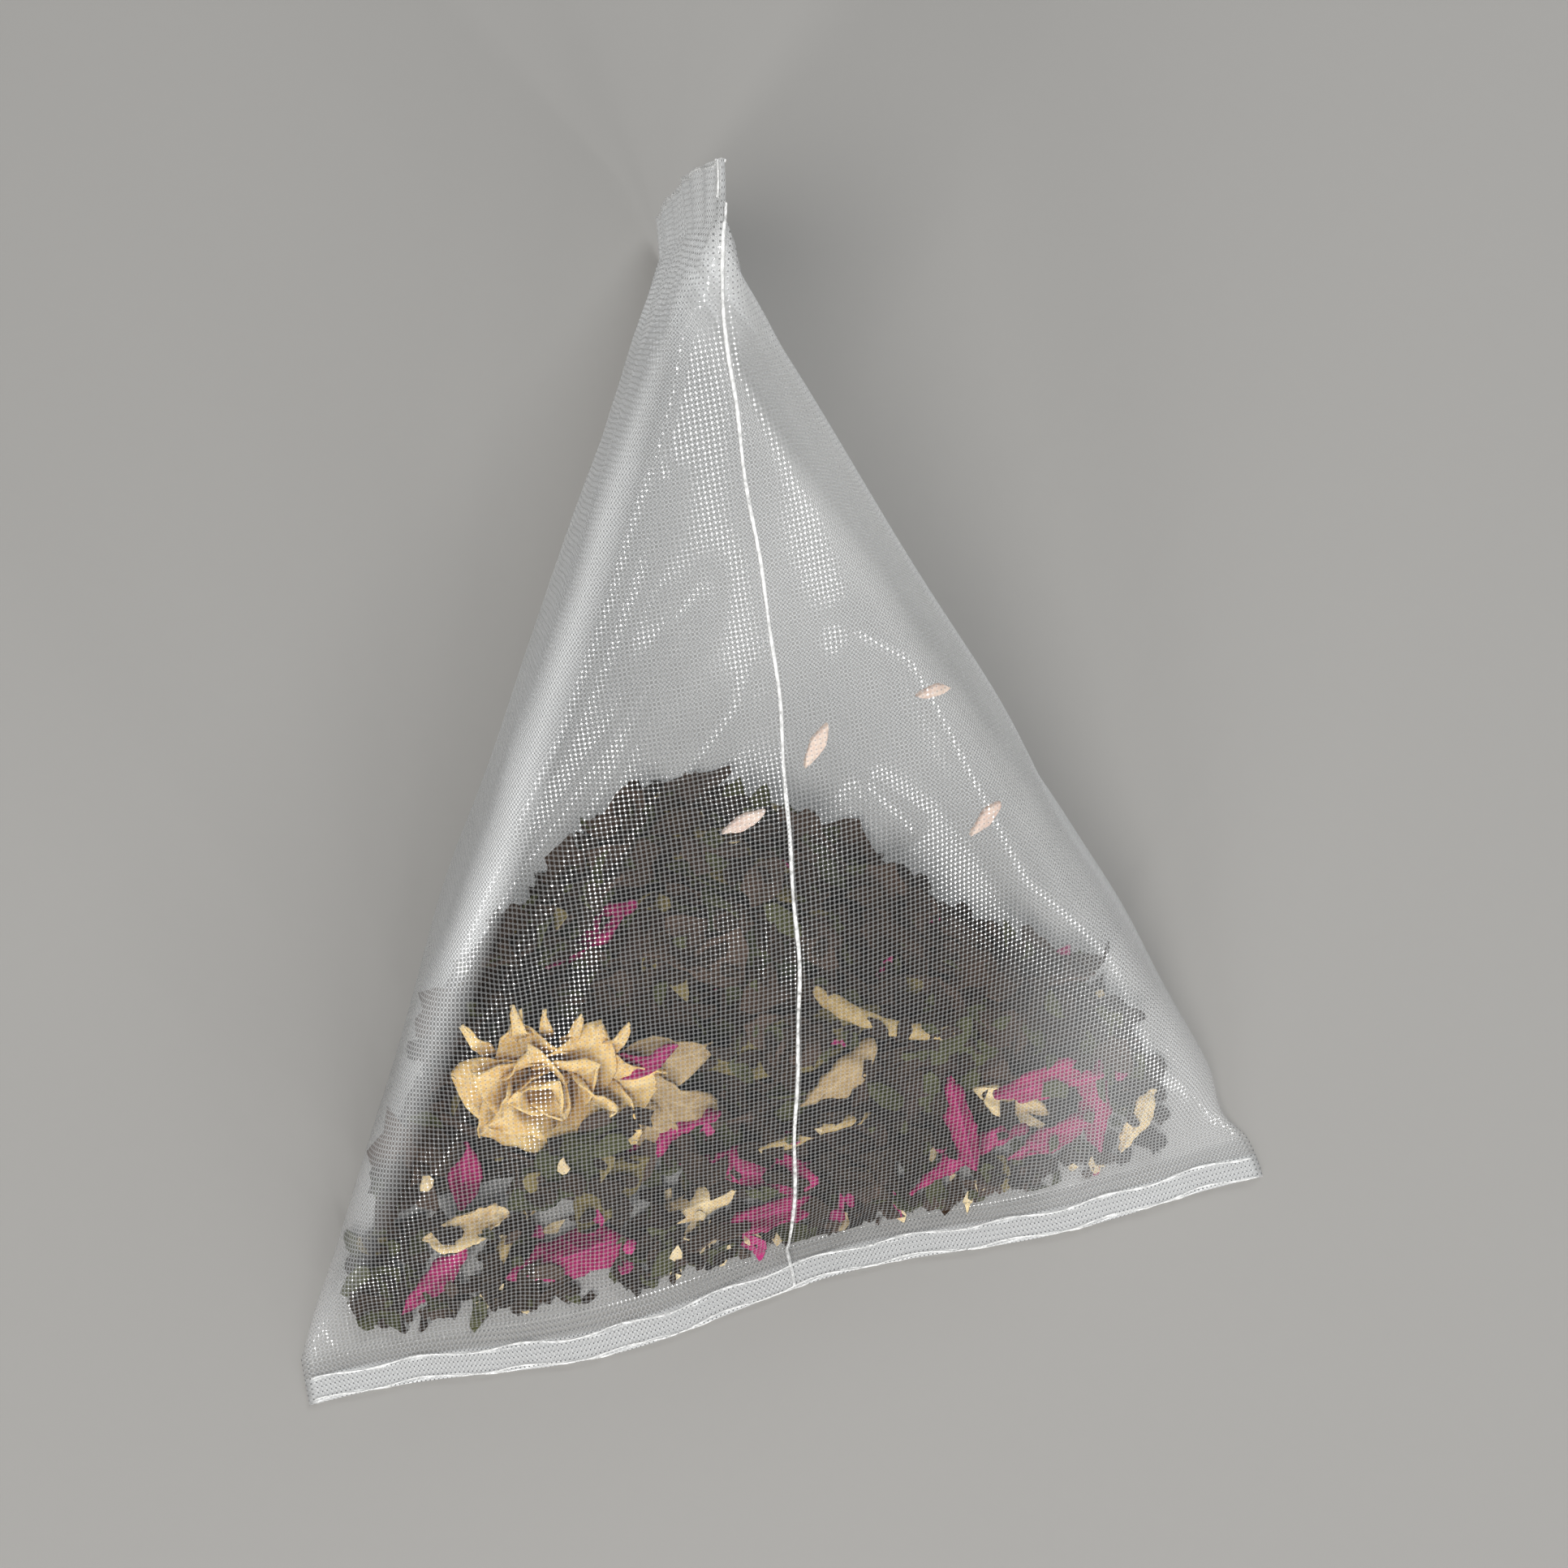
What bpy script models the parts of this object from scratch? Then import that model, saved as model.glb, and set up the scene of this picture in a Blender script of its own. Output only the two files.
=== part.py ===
"""Pyramid tea bag of fine mesh, lying on its back face, with loose herbal tea inside.

The bag is a flat tube of mesh fabric with one welded seam. It is sealed at one end, then at
the other end at right angles, so it stands open as a soft tetrahedron. It lies on one face.
Metres, +Z up, the floor at z = 0, the near seal along X. The origin is on the floor face.
"""
import math
import random

import bmesh
import bpy
import numpy as np
from mathutils import Vector, noise
from mathutils.bvhtree import BVHTree

MM = 0.001

# The fabric tube, laid flat
SEAL_LENGTH = 55.0 * MM        # each heat seal, which is half the tube's girth
TUBE_HEIGHT = 70.0 * MM        # cut edge to cut edge, along the seam
SEAL_BAND = 2.6 * MM           # fabric fused in each heat seal
SEAL_CREASE = 1.3 * MM         # bright crease inside the band, from the cut edge
WALL = 0.25 * MM               # thickness of the coarse wall that stands for the mesh

# The filled bag at rest, measured from the middle of the near cut edge
REST_Y = 22.0 * MM             # near cut edge to the middle of the flat face it lies on
FLOOR_CORNER_Y = 63.7 * MM     # inner end of the far seal, on the floor
FLOOR_CORNER_X = 6.5 * MM      # how far that corner leans to the right
TIP_Y = 43.5 * MM              # inner end of the far seal, at the standing tip
TIP_X = 4.0 * MM
TIP_Z = 46.0 * MM
SIDE_SWELL = 0.3 * MM          # how far the tea pushes each side out
FRONT_BULGE = 2.2 * MM         # crown of the front face
SIDE_BULGE = 0.5 * MM          # crown of the left and right faces
FOLD_SOFTNESS = 3.4 * MM       # half the width over which a fold turns
SEAM_DRIFT = 1.6 * MM          # how far the seam strays right of the middle halfway up
CORNER_PINCH = 0.9 * MM        # how far the right fold draws in just above the near seal
TIP_HOOK = 1.6 * MM            # sideways hook of the standing tip
TIP_HOOK_REACH = 12.0 * MM     # how far down from the tip the hook starts
SEAL_WAVE = 0.45 * MM          # waviness of the cut edges
WAVE_SHORT = 4.1 * MM          # how fast the cut edges wave, over 2 pi
WAVE_LONG = 9.0 * MM

# The lattice that stands for the weave
COLUMNS = 20                   # bars around the girth
ROWS = 9                       # windows between the two seals
BAR = 1.5 * MM                 # width of a bar
RIDGE = 0.15 * MM              # crown of a bar
SEAM_RIDGE = 0.4 * MM          # crown of the welded seam

# The tea
CLEARANCE = 0.3 * MM           # gap kept between pieces that touch
HEAP_PEAK = 14.0 * MM          # height of the heap above the floor face
HEAP_X = -0.6 * MM             # middle of the heap, left of the seam
HEAP_BACK = 32.0 * MM          # back of the heap, from the near cut edge
HEAP_FLANK = 1.0               # how fast its back comes forward to either side
HEAP_SLOPE = 0.95              # fall of its back and flanks
HEAP_ROUND = 4.0 * MM          # rounding of its ridge
HEAP_CENTRE_Y = 12.5 * MM      # middle of the crushed bed, from the near cut edge
FOOT_MARGIN = 2.6 * MM         # crushed bed to the lower folds
LOOSE_DEPTH = 3.4 * MM         # whole leaves and petals between the crushed bed and the mesh
BED_START = 1.6 * MM           # seal band to the front of the crushed bed
BED_LUMPS = 0.9 * MM           # roughness of the crushed bed
BED_BLEND = 1.2 * MM           # rounding where its slopes meet
FLOWER_RADIUS = 6.9 * MM
FLOWER_DEPTH = 4.2 * MM
FLOWER_ACROSS = -11.4 * MM     # middle of the flower on the front face, from the seam
FLOWER_UP = 16.4 * MM          # and from the near cut edge
FLOWER_SQUASH = 0.80           # its height on the face over its width
LEAF_THICKNESS = 0.35 * MM
STALK_RADIUS = 0.45 * MM
TEA_SEED = 41                  # curl and twist of each leaf and petal

# Leaves and petals on the heap: hundredths of the seal's length right of the seam and behind
# the near cut edge, turn in degrees, length and width in millimetres
PLAN_UNIT = SEAL_LENGTH / 100
DARK_LEAVES = (
    (-10.5, 41.5, 95, 12, 6.6), (-29.0, 15.5, 40, 11, 4.6), (-13.0, 13.0, 160, 11, 4.6),
    (15.0, 17.0, 20, 13, 5.6), (25.0, 11.0, 150, 9, 4.0), (2.5, 33.0, 80, 14, 6.0),
    (-18.0, 28.0, 45, 12, 5.4), (8.5, 41.0, 125, 11, 5.0), (12.0, 30.0, 135, 12, 5.4),
    (-35.0, 10.0, 40, 8, 3.4), (7.5, 11.5, 110, 9, 4.0), (20.0, 21.0, 140, 11, 4.6),
    (-13.5, 24.5, 5, 11, 4.4), (-2.5, 21.5, 50, 12, 5.2), (-6.0, 31.0, 60, 11, 4.6),
    (31.5, 12.0, 165, 8, 3.4), (-25.5, 21.0, 60, 9, 4.0), (9.5, 24.0, 170, 12, 4.8),
)
OLIVE_LEAVES = (
    (5.7, 15.5, 30, 9, 4.0), (13.4, 9.0, 15, 8, 3.2), (-5.5, 11.0, 80, 7, 3.4), (1.0, 38.0, 130, 9, 3.6),
)
PINK_PETALS = (
    (-8.5, 22.0, 30, 8.0, 2.6), (-31.0, 20.0, 100, 5.0, 3.0), (-12.0, 37.0, 20, 6.0, 3.6),
    (-0.7, 14.8, 0, 6.0, 4.2), (-1.0, 9.3, 25, 6.5, 2.6), (-21.7, 9.0, 20, 7.5, 2.8),
    (-37.0, 9.5, 60, 5.0, 2.2), (20.0, 14.5, 115, 7.0, 2.2), (34.5, 12.5, 105, 6.0, 2.6),
    (29.0, 17.5, 15, 6.0, 2.8), (18.0, 8.6, 45, 7.5, 2.2), (28.3, 9.5, 20, 5.5, 2.4),
)
CREAM_PETALS = (
    (8.0, 23.5, 65, 5.5, 2.8), (26.0, 14.5, 160, 5.0, 2.2), (-7.6, 8.6, 20, 5.0, 2.0),
    (-32.0, 9.0, 10, 5.0, 2.0), (37.0, 10.7, 60, 4.5, 2.0),
)
STALKS = ((-3.5, 8.0, 15, 6.0), (13.8, 26.5, 120, 9.0), (-24.0, 12.5, 60, 8.0))

# Stray petals on the mesh above the heap: millimetres around the girth from the seam,
# millimetres up from the near cut edge, turn, length and width
STRAY_BITS = (
    (1.8, 38.0, 60, 2.6, 1.2), (-2.2, 34.5, 20, 2.4, 1.2), (8.6, 39.0, 0, 2.6, 1.0), (10.6, 30.5, 40, 2.4, 1.2),
)

NEAR_LEFT = np.array([-SEAL_LENGTH / 2, SEAL_BAND - REST_Y, WALL])
NEAR_RIGHT = np.array([SEAL_LENGTH / 2, SEAL_BAND - REST_Y, WALL])
FLOOR_CORNER = np.array([FLOOR_CORNER_X, FLOOR_CORNER_Y - REST_Y, WALL])
TIP = np.array([TIP_X, TIP_Y - REST_Y, TIP_Z])
AXIS = (FLOOR_CORNER + TIP) / 2 - (NEAR_LEFT + NEAR_RIGHT) / 2
AXIS = AXIS / np.linalg.norm(AXIS)
BODY = TUBE_HEIGHT - 2 * SEAL_BAND


def clear_scene():
    for old in list(bpy.data.objects):
        bpy.data.objects.remove(old, do_unlink=True)


def finish_for(name, colour, roughness, alpha=1.0):
    """A Principled material in the piece's own colour."""
    material = bpy.data.materials.new(name)
    material.use_nodes = True
    shader = material.node_tree.nodes["Principled BSDF"]
    shader.inputs["Base Color"].default_value = (*colour, 1.0)
    shader.inputs["Roughness"].default_value = roughness
    shader.inputs["Alpha"].default_value = alpha
    return material


def add_object(name, vertices, faces, material):
    """One closed piece with its faces turned outwards."""
    mesh = bpy.data.meshes.new(name)
    mesh.from_pydata([tuple(map(float, v)) for v in vertices], [], faces)
    shape = bmesh.new()
    shape.from_mesh(mesh)
    bmesh.ops.recalc_face_normals(shape, faces=shape.faces)
    shape.to_mesh(mesh)
    shape.free()
    mesh.materials.append(material)
    piece = bpy.data.objects.new(name, mesh)
    bpy.context.collection.objects.link(piece)
    return piece


def smooth_step(t):
    t = np.clip(t, 0.0, 1.0)
    return t * t * (3.0 - 2.0 * t)


def unit(vector):
    return vector / np.linalg.norm(vector)


def face_normal(a, b, c):
    return unit(np.cross(b - a, c - a))


FRONT_NORMAL = face_normal(NEAR_LEFT, NEAR_RIGHT, TIP)
LEFT_NORMAL = face_normal(NEAR_LEFT, TIP, FLOOR_CORNER)
RIGHT_NORMAL = face_normal(NEAR_RIGHT, FLOOR_CORNER, TIP)


def taut_section(around, along):
    """A point of the bag before its folds soften: around is the girth, from -1 to 1 with the
    seam at 0 and the far side at 1; along runs from the near seal's band (0) to the far one (1)."""
    swell = SIDE_SWELL * math.sin(math.pi * min(1.0, along) ** 0.75) ** 1.5
    sideways = np.array([swell, 0.0, 0.0])
    sink = np.array([0.0, 0.0, -0.6 * swell])
    top_right = NEAR_RIGHT + (TIP - NEAR_RIGHT) * along + sideways + sink
    top_left = NEAR_LEFT + (TIP - NEAR_LEFT) * along - sideways + sink
    low_right = NEAR_RIGHT + (FLOOR_CORNER - NEAR_RIGHT) * along + sideways
    low_left = NEAR_LEFT + (FLOOR_CORNER - NEAR_LEFT) * along - sideways
    front_half = max((1.0 - along) / 2, 1e-6)
    side_end = (1.0 + along) / 2
    around = (around + 1.0) % 2.0 - 1.0
    distance = abs(around)
    filled = math.sin(math.pi * min(1.0, along) ** 0.6)
    if distance <= front_half:
        across = (around + front_half) / (2 * front_half)
        crown = 4 * across * (1 - across) * filled * FRONT_BULGE
        return top_left + (top_right - top_left) * across + FRONT_NORMAL * crown
    top, low, normal = (top_right, low_right, RIGHT_NORMAL)
    if around < 0:
        top, low, normal = (top_left, low_left, LEFT_NORMAL)
    if distance <= side_end:
        down = (distance - front_half) / max(side_end - front_half, 1e-6)
        crown = 4 * down * (1 - down) * math.sin(math.pi * along) * SIDE_BULGE
        return top + (low - top) * down + normal * crown
    inward = (distance - side_end) / max(1.0 - side_end, 1e-6)
    return low + ((low_left + low_right) / 2 - low) * inward


def tube_place(around, height):
    """Girth place and height of a point of the tube, as taut_section takes them: between the
    seals the fabric is turned a little, so its seam strays from the middle."""
    along = min(1.0, max(0.0, (height - SEAL_BAND) / BODY))
    return around + SEAM_DRIFT / SEAL_LENGTH * math.sin(math.pi * along), along


def skin(around, height):
    """A point of the inner face of the fabric; height runs from the near cut edge to the far one."""
    around, along = tube_place(around, height)
    softness = min(FOLD_SOFTNESS, 0.55 * SEAL_LENGTH * along, 0.55 * SEAL_LENGTH * (1 - along))
    softness = softness / SEAL_LENGTH
    point = np.zeros(3)
    total = 0.0
    for step in range(-4, 5):
        weight = 1.0 - (step / 5.0) ** 2
        point += weight * taut_section(around + softness * step / 4.0, along)
        total += weight
    point /= total
    if height < SEAL_BAND:
        point[1] -= SEAL_BAND - height
    if height > TUBE_HEIGHT - SEAL_BAND:
        point += AXIS * (height - TUBE_HEIGHT + SEAL_BAND)
    near = math.exp(-(height / (1.6 * SEAL_BAND)) ** 2)
    point[1] += near * SEAL_WAVE * (math.sin(point[0] / WAVE_SHORT + 1.0) + math.sin(point[0] / WAVE_LONG))
    drawn_in = math.exp(-((height - 2.0 * SEAL_BAND) / SEAL_BAND) ** 2)
    point[0] -= drawn_in * CORNER_PINCH * float(smooth_step(5.0 * point[0] / SEAL_LENGTH - 1.5))
    far = math.exp(-((TUBE_HEIGHT - height) / (2.2 * SEAL_BAND)) ** 2)
    point[0] += far * SEAL_WAVE * math.sin(point[2] / WAVE_SHORT)
    hook = smooth_step((point[2] - TIP_Z) / TIP_HOOK_REACH + 0.75)
    point[0] += far * TIP_HOOK * float(hook)
    return point


def outward(around, height):
    """The direction out of the bag at a point of the fabric."""
    du, dv = 0.004, 0.3 * MM
    low = max(height - dv, 0.0)
    high = min(height + dv, TUBE_HEIGHT)
    across = skin(around + du, height) - skin(around - du, height)
    upwards = skin(around, high) - skin(around, low)
    centre = (skin(0.0, height) + skin(1.0, height) + skin(0.5, height) + skin(-0.5, height)) / 4
    normal = np.cross(across, upwards)
    size = np.linalg.norm(normal)
    if size > 0:
        normal = normal / size
    away = skin(around, height) - centre
    away = away - upwards * (away @ upwards) / (upwards @ upwards)
    reach = np.linalg.norm(away)
    if reach > 0:
        normal = normal + 0.03 * away / reach
    return unit(normal)


def on_floor(around, height):
    """True where the fabric lies on the floor."""
    around, along = tube_place(around, height)
    distance = abs((around + 1.0) % 2.0 - 1.0)
    return distance > (1.0 + along) / 2 - 0.02


def outer_skin(around, height, ridge=0.0):
    crown = 0.0 if on_floor(around, height) else ridge
    point = skin(around, height) + outward(around, height) * (WALL + crown)
    if point[2] < 0.02 * MM:
        point[2] = 0.0
    return point


def bar_lines():
    """Girth places of the lattice: for each bar its left side, crown and right side."""
    half = BAR / 2 / SEAL_LENGTH
    return [(-1.0 + 2.0 * i / COLUMNS - half, -1.0 + 2.0 * i / COLUMNS, -1.0 + 2.0 * i / COLUMNS + half)
            for i in range(COLUMNS)]


def row_bars():
    """Heights of the lattice's cross bars."""
    return [SEAL_BAND + BODY * i / ROWS for i in range(ROWS + 1)]


def build_bag(material):
    """The mesh bag: an outer and an inner skin, joined round each window of the lattice."""
    vertices = []
    faces = []
    bars = bar_lines()
    heights = row_bars()
    outer_rows = [(0.0, 0.0), (SEAL_CREASE, RIDGE), (heights[0], 0.0), (heights[0] + BAR / 2, 0.0)]
    inner_rows = [heights[0] + BAR / 2]
    for height in heights[1:-1]:
        outer_rows += [(height - BAR / 2, 0.0), (height, RIDGE), (height + BAR / 2, 0.0)]
        inner_rows += [height - BAR / 2, height + BAR / 2]
    last = heights[-1]
    outer_rows += [(last - BAR / 2, 0.0), (last, 0.0), (TUBE_HEIGHT - SEAL_CREASE, RIDGE), (TUBE_HEIGHT, 0.0)]
    inner_rows += [last - BAR / 2]

    def add(point):
        vertices.append(point)
        return len(vertices) - 1

    outer = []
    for height, row_ridge in outer_rows:
        ring = []
        for index, (left, middle, right) in enumerate(bars):
            crown = SEAM_RIDGE if index == COLUMNS // 2 else RIDGE
            in_band = height < SEAL_BAND or height > TUBE_HEIGHT - SEAL_BAND
            crown = row_ridge if in_band else max(crown, row_ridge)
            ring.append(add(outer_skin(left, height, row_ridge)))
            ring.append(add(outer_skin(middle, height, crown)))
            ring.append(add(outer_skin(right, height, row_ridge)))
        outer.append(ring)
    inner = []
    for height in inner_rows:
        ring = []
        for left, _, right in bars:
            ring.append(add(skin(left, height)))
            ring.append(add(skin(right, height)))
        inner.append(ring)

    outer_index = {round(height, 7): row for row, (height, _) in enumerate(outer_rows)}
    windows = set()
    for row in range(ROWS):
        low = heights[row] + BAR / 2
        high = heights[row + 1] - BAR / 2
        for column in range(COLUMNS):
            left = bars[column][2]
            right = bars[(column + 1) % COLUMNS][0]
            right += 2.0 if right < left else 0.0
            corners = [on_floor(a, h) for a in (left, right) for h in (low, high)]
            if not any(corners):
                windows.add((row, column))

    count = 3 * COLUMNS
    skipped = {(outer_index[round(heights[row] + BAR / 2, 7)], 3 * column + 2) for row, column in windows}
    for row in range(len(outer) - 1):
        for column in range(count):
            if (row, column) in skipped:
                continue
            nxt = (column + 1) % count
            faces.append((outer[row][column], outer[row][nxt], outer[row + 1][nxt], outer[row + 1][column]))
    count = 2 * COLUMNS
    for row in range(len(inner) - 1):
        for column in range(count):
            if row % 2 == 0 and column % 2 == 1 and (row // 2, column // 2) in windows:
                continue
            nxt = (column + 1) % count
            faces.append((inner[row][nxt], inner[row][column], inner[row + 1][column], inner[row + 1][nxt]))
    for row, column in windows:
        low = outer_index[round(heights[row] + BAR / 2, 7)]
        left, right = 3 * column + 2, (3 * column + 3) % (3 * COLUMNS)
        ring_out = [outer[low][left], outer[low][right], outer[low + 1][right], outer[low + 1][left]]
        left, right = 2 * column + 1, (2 * column + 2) % (2 * COLUMNS)
        ring_in = [inner[2 * row][left], inner[2 * row][right],
                   inner[2 * row + 1][right], inner[2 * row + 1][left]]
        for side in range(4):
            nxt = (side + 1) % 4
            faces.append((ring_out[side], ring_in[side], ring_in[nxt], ring_out[nxt]))

    def close(ring, left, right):
        """Close a flattened ring by joining the places that face each other across a fold."""
        size = len(ring)
        if left == right:
            faces.append((ring[left], ring[(left - 1) % size], ring[(right + 1) % size]))
            left, right = (left - 1) % size, (right + 1) % size
        while (left - 1) % size != right:
            next_left, next_right = (left - 1) % size, (right + 1) % size
            if next_left == next_right:
                faces.append((ring[left], ring[next_left], ring[right]))
                break
            faces.append((ring[left], ring[next_left], ring[next_right], ring[right]))
            left, right = next_left, next_right

    near_fold, far_fold = COLUMNS // 4, COLUMNS // 2
    close(outer[0], 3 * near_fold + 1, 3 * near_fold + 1)
    close(outer[-1], 3 * far_fold + 1, 3 * far_fold + 1)
    close(inner[0], 2 * near_fold, 2 * near_fold + 1)
    close(inner[-1], 2 * far_fold, 2 * far_fold + 1)
    return add_object("mesh_bag", vertices, faces, material)


class Surroundings:
    """The surfaces of the pieces already in place, to seat the next one against."""

    def __init__(self):
        self.vertices = []
        self.faces = []
        self.fabric = skin_tree()

    def add(self, piece):
        start = len(self.vertices)
        self.vertices += [v.co.copy() for v in piece.data.vertices]
        self.faces += [tuple(start + i for i in face.vertices) for face in piece.data.polygons]
        self.tree = BVHTree.FromPolygons(self.vertices, self.faces)
        self.places = np.array([tuple(v) for v in self.vertices])

    def clear_of(self, vertices, faces):
        """True where a piece keeps the clearance to all that is in place."""
        for vertex in vertices:
            if self.tree.find_nearest(Vector(vertex), CLEARANCE)[0] is not None:
                return False
        own = BVHTree.FromPolygons([Vector(v) for v in vertices], faces)
        if own.overlap(self.tree):
            return False
        low = np.min(vertices, axis=0) - CLEARANCE
        high = np.max(vertices, axis=0) + CLEARANCE
        near = np.all((self.places > low) & (self.places < high), axis=1)
        return not any(own.find_nearest(Vector(place), CLEARANCE)[0] for place in self.places[near])


def soft_min(a, b):
    """The lower of two heights, rounded where they meet."""
    return (a + b - math.hypot(a - b, BED_BLEND)) / 2


def lid_height(x, y):
    """Height of the front face over a point of the floor."""
    offset = (NEAR_LEFT[0] - x) * FRONT_NORMAL[0] + (NEAR_LEFT[1] - y) * FRONT_NORMAL[1]
    return NEAR_LEFT[2] + offset / FRONT_NORMAL[2]


def heap_height(x, y):
    """Height of the crushed bed's upper envelope: a pile with its peak at the seam, which falls
    away to the back and both sides, is cut off by the front face and makes room for the flower."""
    aside = math.hypot(x - HEAP_X, HEAP_ROUND) - HEAP_ROUND
    reach = HEAP_BACK - (y + REST_Y) - HEAP_FLANK * aside
    mound = soft_min(HEAP_SLOPE * reach, HEAP_PEAK)
    lid = lid_height(x, y) - WALL
    room = LOOSE_DEPTH / FRONT_NORMAL[2]
    under_lid = lid - room * (1.0 - math.exp(-max(lid, 0.0) / room)) - CLEARANCE
    height = soft_min(mound, under_lid)
    away = math.hypot(x - FLOWER_SPOT[0], (y - FLOWER_SPOT[1]) * 1.3) / FLOWER_RADIUS
    under_flower = lid - (FLOWER_DEPTH + 3 * CLEARANCE) / FRONT_NORMAL[2]
    sunk = 1.0 - float(smooth_step(away - 0.9))
    return height + sunk * (min(height, under_flower) - height)


def heap_normal(x, y):
    step = CLEARANCE
    slope_x = (heap_height(x + step, y) - heap_height(x - step, y)) / (2 * step)
    slope_y = (heap_height(x, y + step) - heap_height(x, y - step)) / (2 * step)
    return unit(np.array([-slope_x, -slope_y, 1.0]))


def on_front(across, up):
    """A point of the taut front face: across from the seam, up from the near cut edge."""
    middle = (NEAR_LEFT + NEAR_RIGHT) / 2
    return middle + np.array([across, 0.0, 0.0]) + unit(TIP - middle) * (up - SEAL_BAND)


def front_spot(across, up):
    """The heap point under a point of the front face, seen square on to the face."""
    point = on_front(across, up) - FRONT_NORMAL * (LOOSE_DEPTH + CLEARANCE)
    return point[0], point[1]


FLOWER_SPOT = front_spot(FLOWER_ACROSS, FLOWER_UP)


def build_bed(material):
    """Crushed leaf packed in the low corner: hundreds of crumbs fused as one lumpy solid."""
    base = WALL + CLEARANCE
    thin = 0.4 * MM
    columns, rows = 25, 11
    front_y = -REST_Y + SEAL_BAND + BED_START
    half_angle = math.pi / columns
    centre = np.array([HEAP_X, HEAP_CENTRE_Y - REST_Y])
    step = CLEARANCE

    def footprint(angle):
        """How far the mound reaches from its centre along a direction."""
        direction = np.array([math.cos(angle), math.sin(angle)])
        reach = 0.0
        while reach < SEAL_LENGTH:
            x, y = centre + direction * (reach + step)
            along = (y + REST_Y - SEAL_BAND) / (FLOOR_CORNER_Y - SEAL_BAND)
            left = NEAR_LEFT[0] + (FLOOR_CORNER[0] - NEAR_LEFT[0]) * along + FOOT_MARGIN
            right = NEAR_RIGHT[0] + (FLOOR_CORNER[0] - NEAR_RIGHT[0]) * along - FOOT_MARGIN
            if y < front_y or x < left or x > right or heap_height(x, y) < base + thin:
                break
            reach += step
        return reach

    vertices = []
    faces = []
    count = 2 * columns
    reaches = [footprint(half_angle * i) for i in range(count)]
    for row in range(rows):
        share = (row + 1) / rows
        for i in range(count):
            reach = reaches[i] * share ** 0.9
            x = centre[0] + math.cos(half_angle * i) * reach
            y = centre[1] + math.sin(half_angle * i) * reach
            lump = noise.cell(Vector((x, y, 3.1)) / (1.9 * MM))
            lump = 0.6 * abs(lump) + 0.4 * abs(noise.noise(Vector((x, y, 0.0)) / (1.3 * MM)))
            top = heap_height(x, y) - BED_LUMPS * (lump if share < 1.0 else 1.0)
            vertices.append((x, y, max(top, base + thin)))
    top_centre = len(vertices)
    vertices.append((centre[0], centre[1], heap_height(*centre) - 0.5 * BED_LUMPS))
    rim = len(vertices)
    for i in range(count):
        x, y, _ = vertices[(rows - 1) * count + i]
        vertices.append((x, y, base))
    for i in range(count):
        nxt = (i + 1) % count
        faces.append((top_centre, i, nxt))
        for row in range(rows - 1):
            faces.append((row * count + i, (row + 1) * count + i, (row + 1) * count + nxt, row * count + nxt))
        outermost = (rows - 1) * count
        faces.append((outermost + i, rim + i, rim + nxt, outermost + nxt))
    faces.append([rim + i for i in range(count)][::-1])
    return add_object("crushed_leaf_bed", vertices, faces, material)


def blade(length, width, thickness, stations, teeth, point_at, curl, twist, cup, rng):
    """A leaf or petal as a closed thin solid: its midrib along X, its face along Z.

    curl lifts the tip, cup lifts the edges, twist turns it along its length, teeth notch its
    edge, and point_at says where it is widest, from 0 at the stem to 1 at the tip."""
    upper = []
    sides = (-1.0, 0.0, 1.0)
    phase = rng.uniform(0, 2 * math.pi)
    for i in range(stations + 1):
        t = i / stations
        rise = min(t / point_at, 1.0)
        fall = max(0.0, (t - point_at) / (1 - point_at))
        half = width / 2 * (math.sin(rise * math.pi / 2) ** 0.8) * (1 - fall ** 1.8)
        if teeth and i % 2:
            half *= 1.0 - teeth
        half = max(half, 0.035 * width)
        turn = twist * (t - 0.5)
        lift = curl * ((2 * t - 1) ** 2) + 0.12 * curl * math.sin(9 * t + phase)
        row = []
        for side in sides:
            across = side * half
            bend = cup * side * side * half / (width / 2)
            height = bend + math.sin(turn) * across + lift
            row.append(np.array([(t - 0.5) * length, math.cos(turn) * across, height]))
        upper.append(row)
    across = len(sides)
    low_start = (stations + 1) * across
    vertices = [p + np.array([0, 0, thickness]) for row in upper for p in row]
    vertices += [p for row in upper for p in row]
    faces = []
    for i in range(stations):
        for j in range(across - 1):
            a = i * across + j
            faces.append((a, a + 1, a + across + 1, a + across))
            b = low_start + a
            faces.append((b, b + across, b + across + 1, b + 1))
    border = [j for j in range(across)]
    border += [i * across + across - 1 for i in range(1, stations + 1)]
    border += [stations * across + j for j in range(across - 2, -1, -1)]
    border += [i * across for i in range(stations - 1, 0, -1)]
    for a, b in zip(border, border[1:] + border[:1]):
        faces.append((a, low_start + a, low_start + b, b))
    return vertices, faces


def stalk(length, radius, bend, sides, stations):
    """A dried stalk: a bent round bar with rounded ends."""
    vertices = []
    faces = []
    for i in range(stations + 1):
        t = i / stations
        thick = radius * (0.45 if i in (0, stations) else 1.0)
        for k in range(sides):
            angle = 2 * math.pi * k / sides
            vertices.append(np.array([(t - 0.5) * length,
                                      bend * math.sin(math.pi * t) + thick * math.cos(angle),
                                      radius + thick * math.sin(angle)]))
    for i in range(stations):
        for k in range(sides):
            nxt = (k + 1) % sides
            faces.append((i * sides + k, (i + 1) * sides + k, (i + 1) * sides + nxt, i * sides + nxt))
    faces.append(tuple(range(sides)))
    faces.append(tuple(stations * sides + k for k in range(sides))[::-1])
    return vertices, faces


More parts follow.
